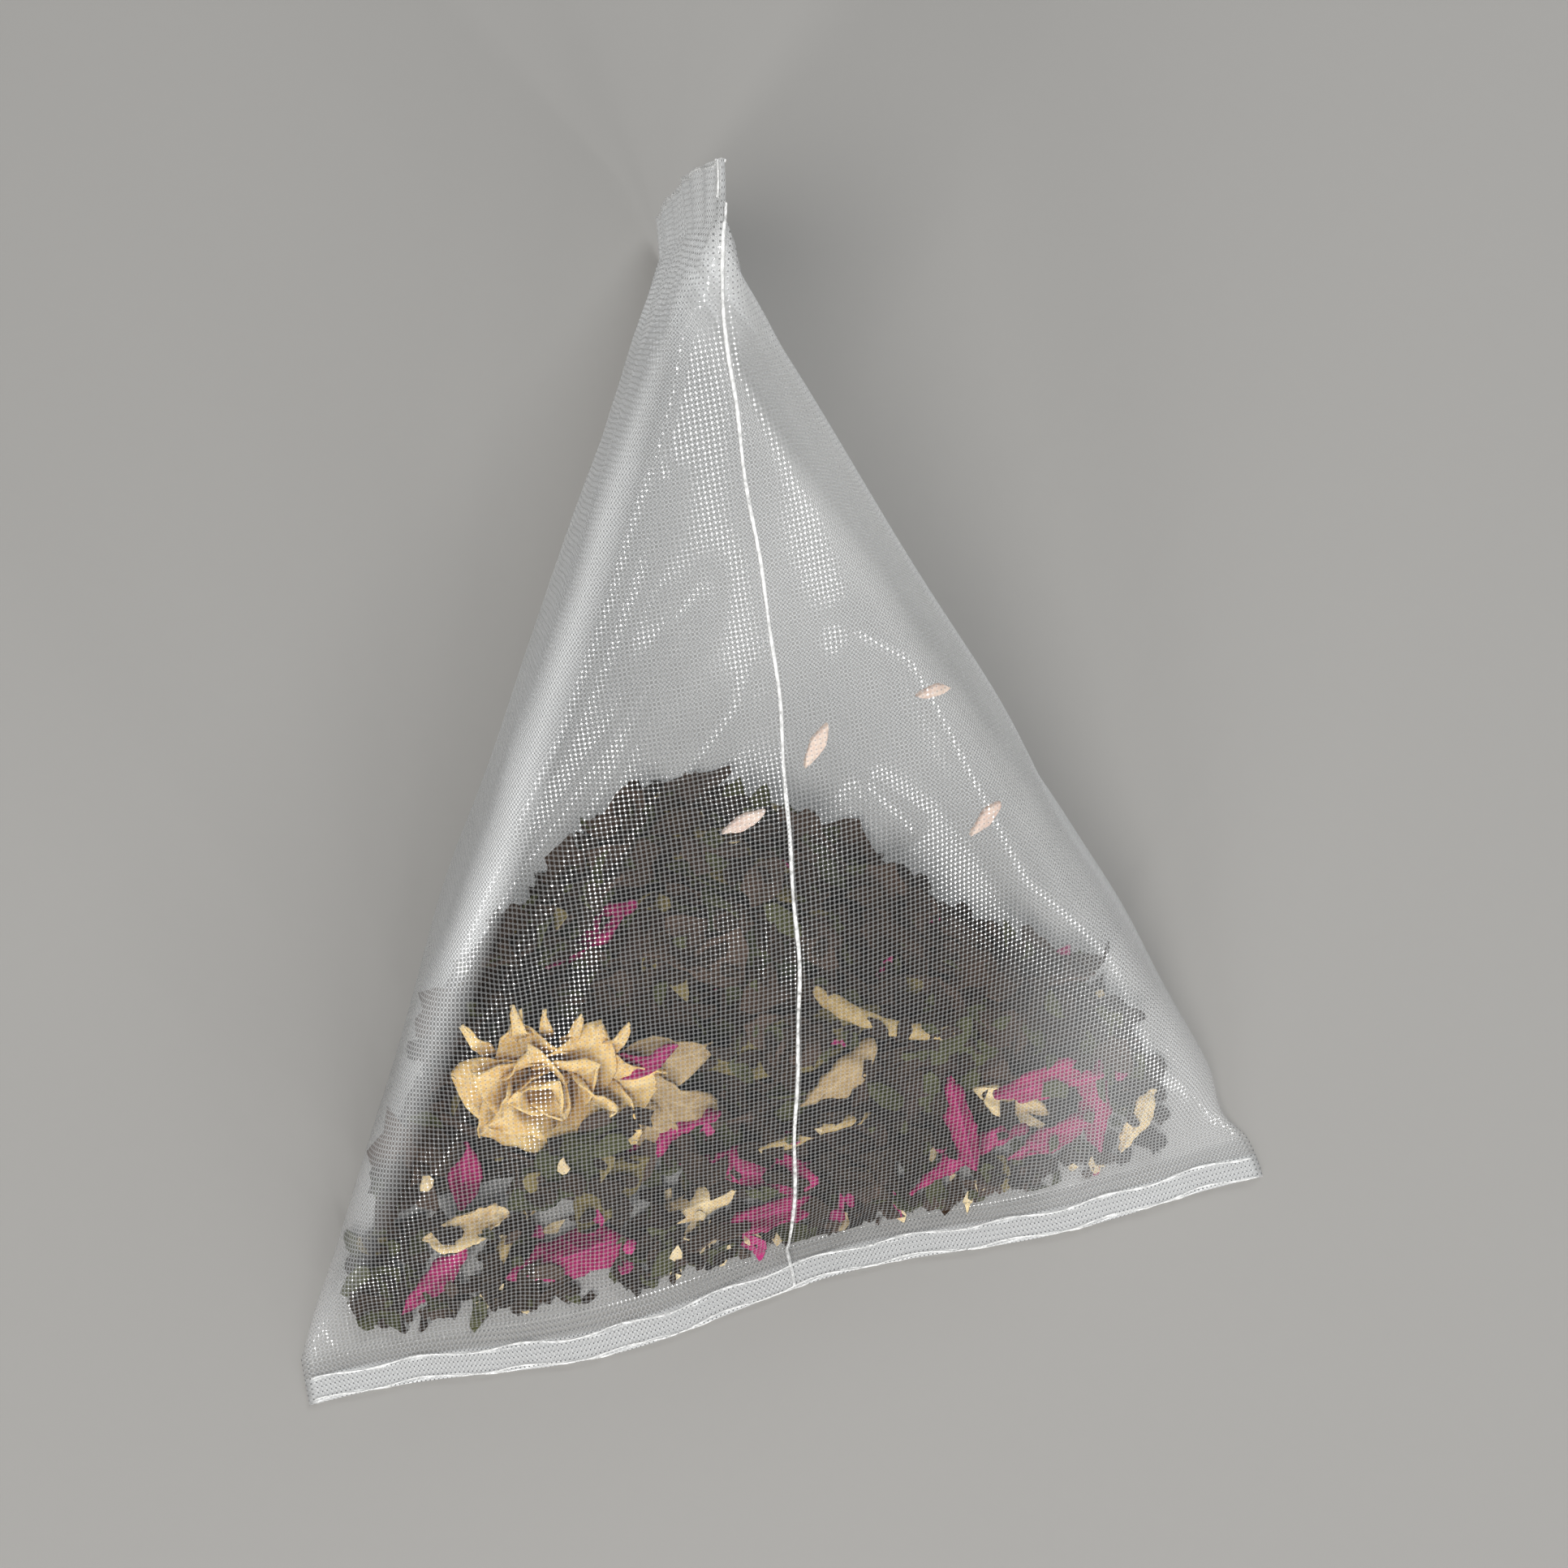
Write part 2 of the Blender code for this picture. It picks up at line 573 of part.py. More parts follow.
def flower(radius, depth):
    """A dried flower head: a raised disc in a ring of folded ray petals."""
    around = 54
    petals = 18
    rings = ((0.12, 0.92), (0.26, 1.0), (0.36, 0.93), (0.42, 0.70), (0.52, 0.78), (0.68, 0.72),
             (0.84, 0.52), (0.95, 0.33), (1.0, 0.24))
    vertices = [np.array([0.0, 0.0, depth * 0.9])]
    faces = []
    for ring, (share, height) in enumerate(rings):
        for i in range(around):
            angle = 2 * math.pi * i / around
            petal = 0.5 + 0.5 * math.cos(petals * angle)
            layer = 0.5 + 0.5 * math.cos(petals / 2 * angle + 0.7)
            outer = smooth_step((share - 0.4) / 0.6)
            reach = radius * share * (1 - outer * (0.26 * (1 - petal) + 0.12 * (1 - layer)))
            disc = 0.05 * math.sin(7 * angle + 2.0 * ring) * (1 - outer)
            lift = height + disc + outer * (0.10 * petal - 0.14 * (1 - layer))
            vertices.append(np.array([reach * math.cos(angle), reach * math.sin(angle), depth * lift]))
    under = len(vertices)
    for share, height in ((0.9, 0.12), (0.5, 0.0)):
        for i in range(around):
            angle = 2 * math.pi * i / around
            rim = vertices[1 + (len(rings) - 1) * around + i]
            vertices.append(np.array([rim[0] * share, rim[1] * share, depth * height]))
    for i in range(around):
        nxt = (i + 1) % around
        faces.append((0, 1 + i, 1 + nxt))
        for ring in range(len(rings) - 1):
            a, b = 1 + ring * around, 1 + (ring + 1) * around
            faces.append((a + i, b + i, b + nxt, a + nxt))
        last = 1 + (len(rings) - 1) * around
        faces.append((last + i, under + i, under + nxt, last + nxt))
        faces.append((under + i, under + around + i, under + around + nxt, under + nxt))
    faces.append([under + around + i for i in range(around)][::-1])
    return vertices, faces


def laid(shape, spot, heading):
    """The shape spread over the heap's envelope: each point's foot and the direction away from it."""
    centre = np.array([spot[0], spot[1], heap_height(*spot)])
    normal = heap_normal(*spot)
    forward = np.array([math.cos(heading), math.sin(heading), 0.0])
    forward = unit(forward - normal * (forward @ normal))
    sideways = np.cross(normal, forward)
    feet = []
    away = []
    for point in shape:
        x, y, _ = centre + forward * point[0] + sideways * point[1]
        feet.append((x, y, heap_height(x, y)))
        away.append(heap_normal(x, y))
    return np.array(feet), np.array(away)


def skin_tree():
    """The inner face of the fabric without its windows, to tell the inside from the outside."""
    columns, rows = 3 * COLUMNS, 4 * ROWS
    points = []
    faces = []
    for row in range(rows + 1):
        for column in range(columns):
            points.append(Vector(skin(-1.0 + 2.0 * column / columns, TUBE_HEIGHT * row / rows)))
    for row in range(rows):
        for column in range(columns):
            a, b = row * columns + column, row * columns + (column + 1) % columns
            faces.append((a, b, b + columns, a + columns))
    return BVHTree.FromPolygons(points, faces)


def inside_bag(vertices, fabric):
    """True where every point of a piece is inside the fabric, by the clearance or more."""
    if vertices[:, 2].min() < WALL + CLEARANCE:
        return False
    for corner, normal in ((NEAR_LEFT, FRONT_NORMAL), (NEAR_LEFT, LEFT_NORMAL), (NEAR_RIGHT, RIGHT_NORMAL)):
        if ((vertices - corner) @ normal).max() > FRONT_BULGE:
            return False
    for vertex in vertices:
        spot, normal, _, _ = fabric.find_nearest(Vector(vertex))
        if (Vector(vertex) - spot).dot(normal) > -CLEARANCE:
            return False
    return True


def keeps_size(shape, placed, faces):
    """True where laying a piece over the heap has neither stretched nor crushed it."""
    for face in faces:
        for a, b in zip(face, face[1:] + face[:1]):
            flat = np.linalg.norm(shape[a] - shape[b])
            ratio = np.linalg.norm(placed[a] - placed[b]) / flat
            if flat > CLEARANCE and not 0.5 < ratio < 1.8:
                return False
    return True


def settle(name, shape, faces, spot, heading, material, surroundings, under_mesh=False):
    """Lay a piece as low on the heap as it goes without touching what is there, or where it
    shows through the mesh, as high under the mesh as it goes."""
    offsets = [CLEARANCE + 0.15 * MM * i for i in range(32)]
    if under_mesh:
        offsets.reverse()
    feet, away = laid(shape, spot, heading)
    heights = np.array([point[2] for point in shape])
    for offset in offsets:
        placed = feet + away * (heights + offset)[:, None]
        if (inside_bag(placed, surroundings.fabric) and surroundings.clear_of(placed, faces)
                and keeps_size(shape, placed, faces)):
            piece = add_object(name, placed, faces, material)
            surroundings.add(piece)
            return piece
    return None


def build_flower(material, surroundings):
    vertices, faces = flower(FLOWER_RADIUS, FLOWER_DEPTH)
    top = on_front(FLOWER_ACROSS, FLOWER_UP)
    sideways = np.array([1.0, 0.0, 0.0])
    upwards = unit(np.cross(FRONT_NORMAL, sideways))
    depth = 0.0
    while depth < FLOWER_DEPTH:
        centre = top - FRONT_NORMAL * (depth + FLOWER_DEPTH)
        placed = [centre + sideways * p[0] + upwards * p[1] * FLOWER_SQUASH + FRONT_NORMAL * p[2]
                  for p in vertices]
        if surroundings.clear_of(placed, faces):
            piece = add_object("flower_head", placed, faces, material)
            surroundings.add(piece)
            return piece
        depth += 0.1 * MM
    raise RuntimeError("the flower head finds no room under the front face")


def build():
    clear_scene()
    fabric = finish_for("mesh_fabric", (0.80, 0.80, 0.78), 0.4)
    crushed = finish_for("crushed_leaf", (0.06, 0.05, 0.035), 0.9)
    dark_leaf = finish_for("dark_leaf", (0.07, 0.06, 0.04), 0.8)
    olive_leaf = finish_for("olive_leaf", (0.20, 0.17, 0.08), 0.8)
    pink = finish_for("pink_petal", (0.50, 0.10, 0.20), 0.7)
    cream = finish_for("cream_petal", (0.72, 0.58, 0.36), 0.8)
    straw = finish_for("straw_stalk", (0.45, 0.33, 0.14), 0.8)

    surroundings = Surroundings()
    surroundings.add(build_bag(fabric))
    surroundings.add(build_bed(crushed))
    build_flower(cream, surroundings)
    rng = random.Random(TEA_SEED)
    for count, (across, behind, turn, length, width) in enumerate(PINK_PETALS, start=1):
        lay_blade(f"pink_petal_{count:02d}", (across, behind, turn), (length, width, 6, 0.0, 0.62),
                  pink, surroundings, rng, behind * PLAN_UNIT < HEAP_PEAK)
    for count, (across, behind, turn, length, width) in enumerate(CREAM_PETALS, start=1):
        lay_blade(f"cream_petal_{count}", (across, behind, turn), (length, width, 6, 0.0, 0.6),
                  cream, surroundings, rng, behind * PLAN_UNIT < HEAP_PEAK)
    for count, (across, behind, turn, length, width) in enumerate(DARK_LEAVES, start=1):
        lay_blade(f"dark_leaf_{count:02d}", (across, behind, turn), (length, width, 10, 0.24, 0.4),
                  dark_leaf, surroundings, rng)
    for count, (across, behind, turn, length, width) in enumerate(OLIVE_LEAVES, start=1):
        lay_blade(f"olive_leaf_{count}", (across, behind, turn), (length, width, 8, 0.10, 0.45),
                  olive_leaf, surroundings, rng)
    for count, (across, behind, turn, length) in enumerate(STALKS, start=1):
        vertices, faces = stalk(length * MM, STALK_RADIUS, 0.6 * MM, 6, 6)
        find_place(f"stalk_{count}", vertices, faces, (across, behind, turn), straw, surroundings)
    for count, (around, height, turn, length, width) in enumerate(STRAY_BITS, start=1):
        stick(f"stray_petal_{count}", (around, height, turn), (length, width),
              pink if count % 2 else cream, surroundings, rng)


def plan_spot(across, behind):
    """A place on the heap, from the seam and the near cut edge."""
    return across * PLAN_UNIT, behind * PLAN_UNIT - REST_Y


def find_place(name, shape, faces, place, material, surroundings, under_mesh=False):
    """Lay a piece where it is wanted, or in the free place nearest to that."""
    across, behind, turn = place
    for ring in range(24):
        for side in range(8 if ring else 1):
            angle = math.pi / 4 * side + 0.4 * ring
            spot = plan_spot(across + 1.4 * ring * math.cos(angle), behind + 1.4 * ring * math.sin(angle))
            heading = math.radians(turn) + 0.35 * (side % 3 - 1)
            if settle(name, shape, faces, spot, heading, material, surroundings, under_mesh):
                return
    raise RuntimeError(f"{name} finds no room in the bag")


def lay_blade(name, place, form, material, surroundings, rng, under_mesh=False):
    """Lay one leaf or petal with a curl, twist and cup of its own."""
    length, width, stations, teeth, widest = form
    curl = rng.uniform(-0.9, 1.1) * MM
    shape, faces = blade(length * MM, width * MM, LEAF_THICKNESS, stations, teeth, widest,
                         curl, rng.uniform(-0.9, 0.9), rng.uniform(-0.6, 1.0) * MM, rng)
    find_place(name, shape, faces, place, material, surroundings, under_mesh)


def stick(name, place, size, material, surroundings, rng):
    """A stray petal clinging to the inside of the mesh, which it follows."""
    around, height, turn = place
    length, width = size
    shape, faces = blade(length * MM, width * MM, LEAF_THICKNESS, 6, 0.0, 0.6, 0.0, 0.0, 0.0, rng)
    heading = math.radians(turn)
    depth = CLEARANCE
    while depth < LOOSE_DEPTH:
        placed = []
        for point in shape:
            right = point[0] * math.cos(heading) - point[1] * math.sin(heading)
            up = point[0] * math.sin(heading) + point[1] * math.cos(heading)
            girth = around / (SEAL_LENGTH / MM) + right / SEAL_LENGTH
            along = height * MM + up
            placed.append(skin(girth, along) - outward(girth, along) * (depth + point[2]))
        if surroundings.clear_of(placed, faces):
            surroundings.add(add_object(name, placed, faces, material))
            return
        depth += 0.05 * MM
    raise RuntimeError(f"{name} does not cling to the mesh")


if __name__ == "__main__":
    build()
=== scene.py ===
"""Looks of the pyramid tea bag: woven mesh, welds, loose tea, plain stage and camera."""

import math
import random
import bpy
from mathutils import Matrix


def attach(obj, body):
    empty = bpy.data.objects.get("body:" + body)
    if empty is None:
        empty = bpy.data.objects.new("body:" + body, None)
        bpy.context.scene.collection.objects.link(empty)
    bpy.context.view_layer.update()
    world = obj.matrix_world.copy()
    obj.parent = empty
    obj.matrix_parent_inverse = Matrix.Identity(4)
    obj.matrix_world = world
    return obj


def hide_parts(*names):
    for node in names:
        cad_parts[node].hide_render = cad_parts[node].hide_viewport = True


bl_info = {
    "name": "Pyramid Tea Bag",
    "version": (1, 0, 0),
    "blender": (4, 5, 0),
    "location": "3D View > Sidebar > Tea Bag",
    "description": "Dresses the frame of a mesh pyramid tea bag with woven fabric and loose herbal tea",
    "category": "Add Mesh",
}

import bmesh
import bpy
import numpy as np
from mathutils import Matrix, Vector, noise
from mathutils.bvhtree import BVHTree

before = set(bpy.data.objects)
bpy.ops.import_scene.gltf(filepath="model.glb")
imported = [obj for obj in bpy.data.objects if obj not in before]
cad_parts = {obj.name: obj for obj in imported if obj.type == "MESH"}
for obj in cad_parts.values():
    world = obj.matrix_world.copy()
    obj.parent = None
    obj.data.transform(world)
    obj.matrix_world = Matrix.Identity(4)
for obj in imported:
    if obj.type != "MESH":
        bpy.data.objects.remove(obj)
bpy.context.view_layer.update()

MM = 0.001
BODY_NAME = "root"

# The fabric tube, as the frame has it
SEAL_LENGTH = 55.0 * MM
TUBE_HEIGHT = 70.0 * MM
SEAL_BAND = 2.6 * MM
SEAL_CREASE = 1.3 * MM
WALL = 0.25 * MM
REST_Y = 22.0 * MM
FLOOR_CORNER = np.array([6.5 * MM, 63.7 * MM - REST_Y, WALL])
TIP = np.array([4.0 * MM, 43.5 * MM - REST_Y, 46.0 * MM])
NEAR_LEFT = np.array([-SEAL_LENGTH / 2, SEAL_BAND - REST_Y, WALL])
NEAR_RIGHT = np.array([SEAL_LENGTH / 2, SEAL_BAND - REST_Y, WALL])
SIDE_SWELL = 0.3 * MM
FRONT_BULGE = 2.2 * MM
SIDE_BULGE = 0.5 * MM
FOLD_SOFTNESS = 3.4 * MM
SEAM_DRIFT = 1.6 * MM
CORNER_PINCH = 0.9 * MM
TIP_HOOK = 1.6 * MM
TIP_HOOK_REACH = 12.0 * MM
SEAL_WAVE = 0.45 * MM
WAVE_SHORT = 4.1 * MM
WAVE_LONG = 9.0 * MM
BODY = TUBE_HEIGHT - 2 * SEAL_BAND
AXIS = (FLOOR_CORNER + TIP) / 2 - (NEAR_LEFT + NEAR_RIGHT) / 2
AXIS = AXIS / np.linalg.norm(AXIS)


def unit(vector):
    return vector / np.linalg.norm(vector)


def face_normal(a, b, c):
    return unit(np.cross(b - a, c - a))


FRONT_NORMAL = face_normal(NEAR_LEFT, NEAR_RIGHT, TIP)
LEFT_NORMAL = face_normal(NEAR_LEFT, TIP, FLOOR_CORNER)
RIGHT_NORMAL = face_normal(NEAR_RIGHT, FLOOR_CORNER, TIP)

# Soft creases of the front face: the points each runs through, as millimetres right of the
# seam and up from the near cut edge, how far the cloth stands out and how wide the crease is
CREASES = (
    (((-1.5, 52.0), (-8.5, 40.5), (-15.5, 30.0), (-17.5, 26.0)), -0.50, 1.3),
    (((-3.6, 48.0), (-7.2, 41.8), (-10.8, 35.5), (-13.6, 30.0), (-18.0, 17.8), (-23.2, 8.0)), 0.42, 1.4),
    (((-0.3, 44.0), (-6.1, 37.8), (-10.0, 30.8)), 0.26, 1.1),
    (((-9.0, 30.0), (-12.5, 21.0), (-14.0, 14.0)), 0.10, 0.7),
    (((0.5, 40.0), (-1.0, 30.0), (-2.5, 22.0)), 0.12, 0.8),
    (((2.2, 44.2), (4.1, 44.4), (6.9, 42.2), (9.2, 34.8), (12.7, 26.2), (17.8, 19.8), (24.3, 8.8)),
     0.30, 1.2),
    (((3.2, 36.0), (6.7, 31.0)), 0.22, 0.8),
    (((4.8, 52.0), (1.4, 62.0)), -0.30, 1.0),
    (((-4.3, 55.0), (-1.4, 64.0)), 0.28, 0.9),
)


def taut_section(around, along):
    """Points of the bag before its folds soften, for arrays of girth places and heights."""
    around = (around + 1.0) % 2.0 - 1.0
    swell = SIDE_SWELL * np.sin(np.pi * np.clip(along, 0, 1) ** 0.75) ** 1.5
    lift = along[..., None]
    sideways = np.stack([swell, 0 * swell, 0 * swell], -1)
    sink = np.stack([0 * swell, 0 * swell, -0.6 * swell], -1)
    top_right = NEAR_RIGHT + (TIP - NEAR_RIGHT) * lift + sideways + sink
    top_left = NEAR_LEFT + (TIP - NEAR_LEFT) * lift - sideways + sink
    low_right = NEAR_RIGHT + (FLOOR_CORNER - NEAR_RIGHT) * lift + sideways
    low_left = NEAR_LEFT + (FLOOR_CORNER - NEAR_LEFT) * lift - sideways
    front_half = np.maximum((1.0 - along) / 2, 1e-6)
    side_end = (1.0 + along) / 2
    distance = np.abs(around)
    filled = np.sin(np.pi * np.clip(along, 0, 1) ** 0.6)
    across = np.clip((around + front_half) / (2 * front_half), 0, 1)[..., None]
    crown = 4 * across * (1 - across) * filled[..., None] * FRONT_BULGE
    front = top_left + (top_right - top_left) * across + FRONT_NORMAL * crown
    left = (around < 0)[..., None]
    top = np.where(left, top_left, top_right)
    low = np.where(left, low_left, low_right)
    normal = np.where(left, LEFT_NORMAL, RIGHT_NORMAL)
    down = np.clip((distance - front_half) / np.maximum(side_end - front_half, 1e-6), 0, 1)[..., None]
    crown = 4 * down * (1 - down) * np.sin(np.pi * np.clip(along, 0, 1))[..., None] * SIDE_BULGE
    side = top + (low - top) * down + normal * crown
    inward = np.clip((distance - side_end) / np.maximum(1.0 - side_end, 1e-6), 0, 1)[..., None]
    under = low + ((low_left + low_right) / 2 - low) * inward
    out = np.where((distance <= side_end)[..., None], side, under)
    return np.where((distance <= front_half)[..., None], front, out)


def smooth_step(t):
    t = np.clip(t, 0.0, 1.0)
    return t * t * (3.0 - 2.0 * t)


def skin(around, height):
    """Points of the fabric's inner face, for arrays of girth places and heights."""
    around, height = np.broadcast_arrays(np.asarray(around, float), np.asarray(height, float))
    along = np.clip((height - SEAL_BAND) / BODY, 0, 1)
    around = around + SEAM_DRIFT / SEAL_LENGTH * np.sin(np.pi * along)
    softness = np.minimum(FOLD_SOFTNESS, 0.55 * SEAL_LENGTH * np.minimum(along, 1 - along)) / SEAL_LENGTH
    point = np.zeros(around.shape + (3,))
    total = 0.0
    steps = 8
    for step in range(-steps, steps + 1):
        weight = 1.0 - (step / (steps + 1)) ** 2
        point += weight * taut_section(around + softness * step / steps, along)
        total += weight
    point /= total
    point[..., 1] -= np.maximum(SEAL_BAND - height, 0)
    point += AXIS * np.maximum(height - TUBE_HEIGHT + SEAL_BAND, 0)[..., None]
    near = np.exp(-(height / (1.6 * SEAL_BAND)) ** 2)
    x = point[..., 0]
    point[..., 1] += near * SEAL_WAVE * (np.sin(x / WAVE_SHORT + 1.0) + np.sin(x / WAVE_LONG))
    drawn_in = np.exp(-((height - 2.0 * SEAL_BAND) / SEAL_BAND) ** 2)
    point[..., 0] -= drawn_in * CORNER_PINCH * smooth_step(5.0 * x / SEAL_LENGTH - 1.5)
    far = np.exp(-((TUBE_HEIGHT - height) / (2.2 * SEAL_BAND)) ** 2)
    calm = smooth_step((TIP[2] - point[..., 2]) / TIP_HOOK_REACH)
    point[..., 0] += far * SEAL_WAVE * (0.3 * calm * np.sin(point[..., 2] / WAVE_SHORT) - 0.9 * (1 - calm))
    hook = smooth_step((point[..., 2] - TIP[2]) / TIP_HOOK_REACH + 0.75)
    point[..., 0] += far * TIP_HOOK * hook
    return point


def outward(around, height):
    """Directions out of the bag, for arrays of girth places and heights."""
    around, height = np.broadcast_arrays(np.asarray(around, float), np.asarray(height, float))
    du, dv = 0.004, 0.3 * MM
    low, high = np.maximum(height - dv, 0), np.minimum(height + dv, TUBE_HEIGHT)
    across = skin(around + du, height) - skin(around - du, height)
    upwards = skin(around, high) - skin(around, low)
    centre = (skin(0 * around, height) + skin(0 * around + 1, height)
              + skin(0 * around + 0.5, height) + skin(0 * around - 0.5, height)) / 4
    normal = np.cross(across, upwards)
    normal /= np.maximum(np.linalg.norm(normal, axis=-1, keepdims=True), 1e-12)
    away = skin(around, height) - centre
    shift = (away * upwards).sum(-1, keepdims=True) / (upwards * upwards).sum(-1, keepdims=True)
    away = away - upwards * shift
    away /= np.maximum(np.linalg.norm(away, axis=-1, keepdims=True), 1e-12)
    normal = normal + 0.03 * away
    return normal / np.linalg.norm(normal, axis=-1, keepdims=True)


def crease_depth(around, height):
    """How far the creases push the cloth out at each place."""
    across = ((around + 1.0) % 2.0 - 1.0) * SEAL_LENGTH / MM
    up = height / MM
    depth = np.zeros_like(across)
    for points, out, width in CREASES:
        count = len(points) - 1
        nearest = np.full_like(across, 1e9)
        share = np.zeros_like(across)
        for i, (start, end) in enumerate(zip(points, points[1:])):
            dx, dy = end[0] - start[0], end[1] - start[1]
            t = np.clip(((across - start[0]) * dx + (up - start[1]) * dy) / (dx * dx + dy * dy), 0, 1)
            gap = np.hypot(across - start[0] - t * dx, up - start[1] - t * dy)
            share = np.where(gap < nearest, (i + t) / count, share)
            nearest = np.minimum(gap, nearest)
        fade = smooth_step(6 * share) * smooth_step(6 * (1 - share))
        depth += out * fade * np.exp(-(nearest / width) ** 2)
    return depth * MM


def cloth(around, height):
    """The fabric's middle with its creases, puckers and slack, on the outer side of the skin."""
    around, height = np.broadcast_arrays(np.asarray(around, float), np.asarray(height, float))
    place = skin(around, height)
    normal = outward(around, height)
    flat_under = smooth_step((place[..., 2] - WALL) / (1.5 * MM))
    u = around * SEAL_LENGTH
    slack = 0.10 * MM * np.sin(u / (3.7 * MM) + 2.2 * np.sin(height / (9.0 * MM)))
    slack += 0.08 * MM * np.sin(height / (3.1 * MM) + 1.7 * np.sin(u / (7.3 * MM)))
    slack += 0.03 * MM * np.sin((u + height) / (1.9 * MM) + 2.0 * np.sin(u / (5.1 * MM)))
    body = smooth_step(height / (9 * MM)) * smooth_step((TUBE_HEIGHT - height) / (9 * MM))
    above_near = np.exp(-((height - 1.5 * SEAL_BAND) / (1.5 * SEAL_BAND)) ** 2)
    pucker = 0.22 * MM * above_near * np.sin(u / (0.52 * MM) + 1.5 * np.sin(u / (3.3 * MM)))
    pucker *= 0.6 + 0.4 * np.sin(u / (2.1 * MM))
    above_far = np.exp(-((TUBE_HEIGHT - height - 1.5 * SEAL_BAND) / (1.5 * SEAL_BAND)) ** 2)
    pucker += 0.16 * MM * above_far * np.sin(u / (0.6 * MM) + 1.5 * np.sin(u / (2.9 * MM)))
    out = (slack + crease_depth(around, height)) * body + pucker
    out = out * flat_under + 0.6 * WALL
    place = place + normal * out[..., None]
    place[..., 2] = np.maximum(place[..., 2], 0.05 * MM)
    return place


def deselect():
    for each in bpy.context.selected_objects:
        each.select_set(False)
    bpy.context.view_layer.objects.active = None


def link(name, mesh):
    """Link a mesh as the only selected, active object."""
    deselect()
    piece = bpy.data.objects.new(name, mesh)
    bpy.context.collection.objects.link(piece)
    piece.select_set(True)
    bpy.context.view_layer.objects.active = piece
    return piece


def mesh_of(name, vertices, faces):
    mesh = bpy.data.meshes.new(name)
    mesh.from_pydata([tuple(map(float, v)) for v in vertices], [], faces)
    mesh.validate()
    return mesh


def apply_modifiers(piece):
    deselect()
    piece.select_set(True)
    bpy.context.view_layer.objects.active = piece
    for modifier in list(piece.modifiers):
        bpy.ops.object.modifier_apply(modifier=modifier.name)


def points_of(mesh):
    points = np.empty(len(mesh.vertices) * 3)
    mesh.vertices.foreach_get("co", points)
    return points.reshape(-1, 3)


def move_points(mesh, points):
    mesh.vertices.foreach_set("co", points.ravel())
    mesh.update()


def lay_uv(mesh, name, flat):
    """A UV map, from one flat place for each vertex."""
    layer = mesh.uv_layers.new(name=name)
    index = np.empty(len(mesh.loops), int)
    mesh.loops.foreach_get("vertex_index", index)
    layer.data.foreach_set("uv", flat[index].ravel())


def finish_piece(piece, finish, nodes=()):
    """Give the finish, ride on the body and stand for the frame's nodes."""
    piece.data.materials.append(materials()[finish])
    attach(piece, BODY_NAME)
    if nodes:
        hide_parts(*nodes)


class Nodes:
    """Short calls for building a material's node tree."""

    def __init__(self, tree):
        self.tree = tree

    def new(self, kind, **settings):
        node = self.tree.nodes.new(kind)
        for key, value in settings.items():
            setattr(node, key, value)
        return node

    def feed(self, socket, value):
        if hasattr(value, "is_output"):
            self.tree.links.new(value, socket)
        else:
            socket.default_value = value

    def math(self, operation, a, b=0.0, c=0.0, clamp=False):
        node = self.new("ShaderNodeMath", operation=operation, use_clamp=clamp)
        for socket, value in zip(node.inputs, (a, b, c)):
            self.feed(socket, value)
        return node.outputs[0]

    def times(self, a, b):
        return self.math("MULTIPLY", a, b)

    def minus(self, a, b, clamp=False):
        return self.math("SUBTRACT", a, b, clamp=clamp)

    def line(self, a, slope, start, clamp=False):
        return self.math("MULTIPLY_ADD", a, slope, start, clamp)

    def mix(self, factor, a, b):
        node = self.new("ShaderNodeMix", data_type="RGBA")
        self.feed(node.inputs[0], factor)
        self.feed(node.inputs[6], a)
        self.feed(node.inputs[7], b)
        return node.outputs[2]

    def noise(self, vector, scale, detail=3.0, roughness=0.55):
        node = self.new("ShaderNodeTexNoise")
        self.feed(node.inputs["Vector"], vector)
        node.inputs["Scale"].default_value = scale
        node.inputs["Detail"].default_value = detail
        node.inputs["Roughness"].default_value = roughness
        return node.outputs["Fac"]

    def bump(self, height, distance, strength=1.0):
        node = self.new("ShaderNodeBump")
        node.inputs["Strength"].default_value = strength
        node.inputs["Distance"].default_value = distance
        self.feed(node.inputs["Height"], height)
        return node.outputs[0]


def start_group(name, inputs, outputs, kind="NodeSocketFloat"):
    """A node group, its tree and the sockets of its two ends; kind is that of its inputs."""
    group = bpy.data.node_groups.new(name, "ShaderNodeTree")
    for socket in inputs:
        group.interface.new_socket(socket, in_out="INPUT", socket_type=kind)
    for socket in outputs:
        group.interface.new_socket(socket, in_out="OUTPUT", socket_type="NodeSocketFloat")
    n = Nodes(group)
    return group, n, n.new("NodeGroupInput").outputs, n.new("NodeGroupOutput").inputs


def start_material(name):
    material = bpy.data.materials.new(name)
    material.use_nodes = True
    nodes = Nodes(material.node_tree)
    return material, nodes, material.node_tree.nodes["Principled BSDF"]


# Weave: one thread pitch across the tube and along it, the share of a pitch that a thread is
# wide, how far threads stray, and how far they rise
THREAD_ACROSS = 0.245 * MM
THREAD_ALONG = 0.285 * MM
THREAD_SHARE = 0.33
THREAD_STRAY = 0.9 * MM
THREAD_RISE = 0.005 * MM

# Opacity of the threads and of the haze between them: the front face, the cloth behind the tea,
# the fused seals and what the tip adds, and what a thread's crown adds
FRONT_THREAD, FRONT_HAZE = 0.095, 0.006
BEHIND_THREAD, BEHIND_HAZE = 0.55, 0.26
FUSED_THREAD, FUSED_HAZE = 0.34, 0.26
TIP_HAZE = 0.22
CROWN_OPACITY = 0.55

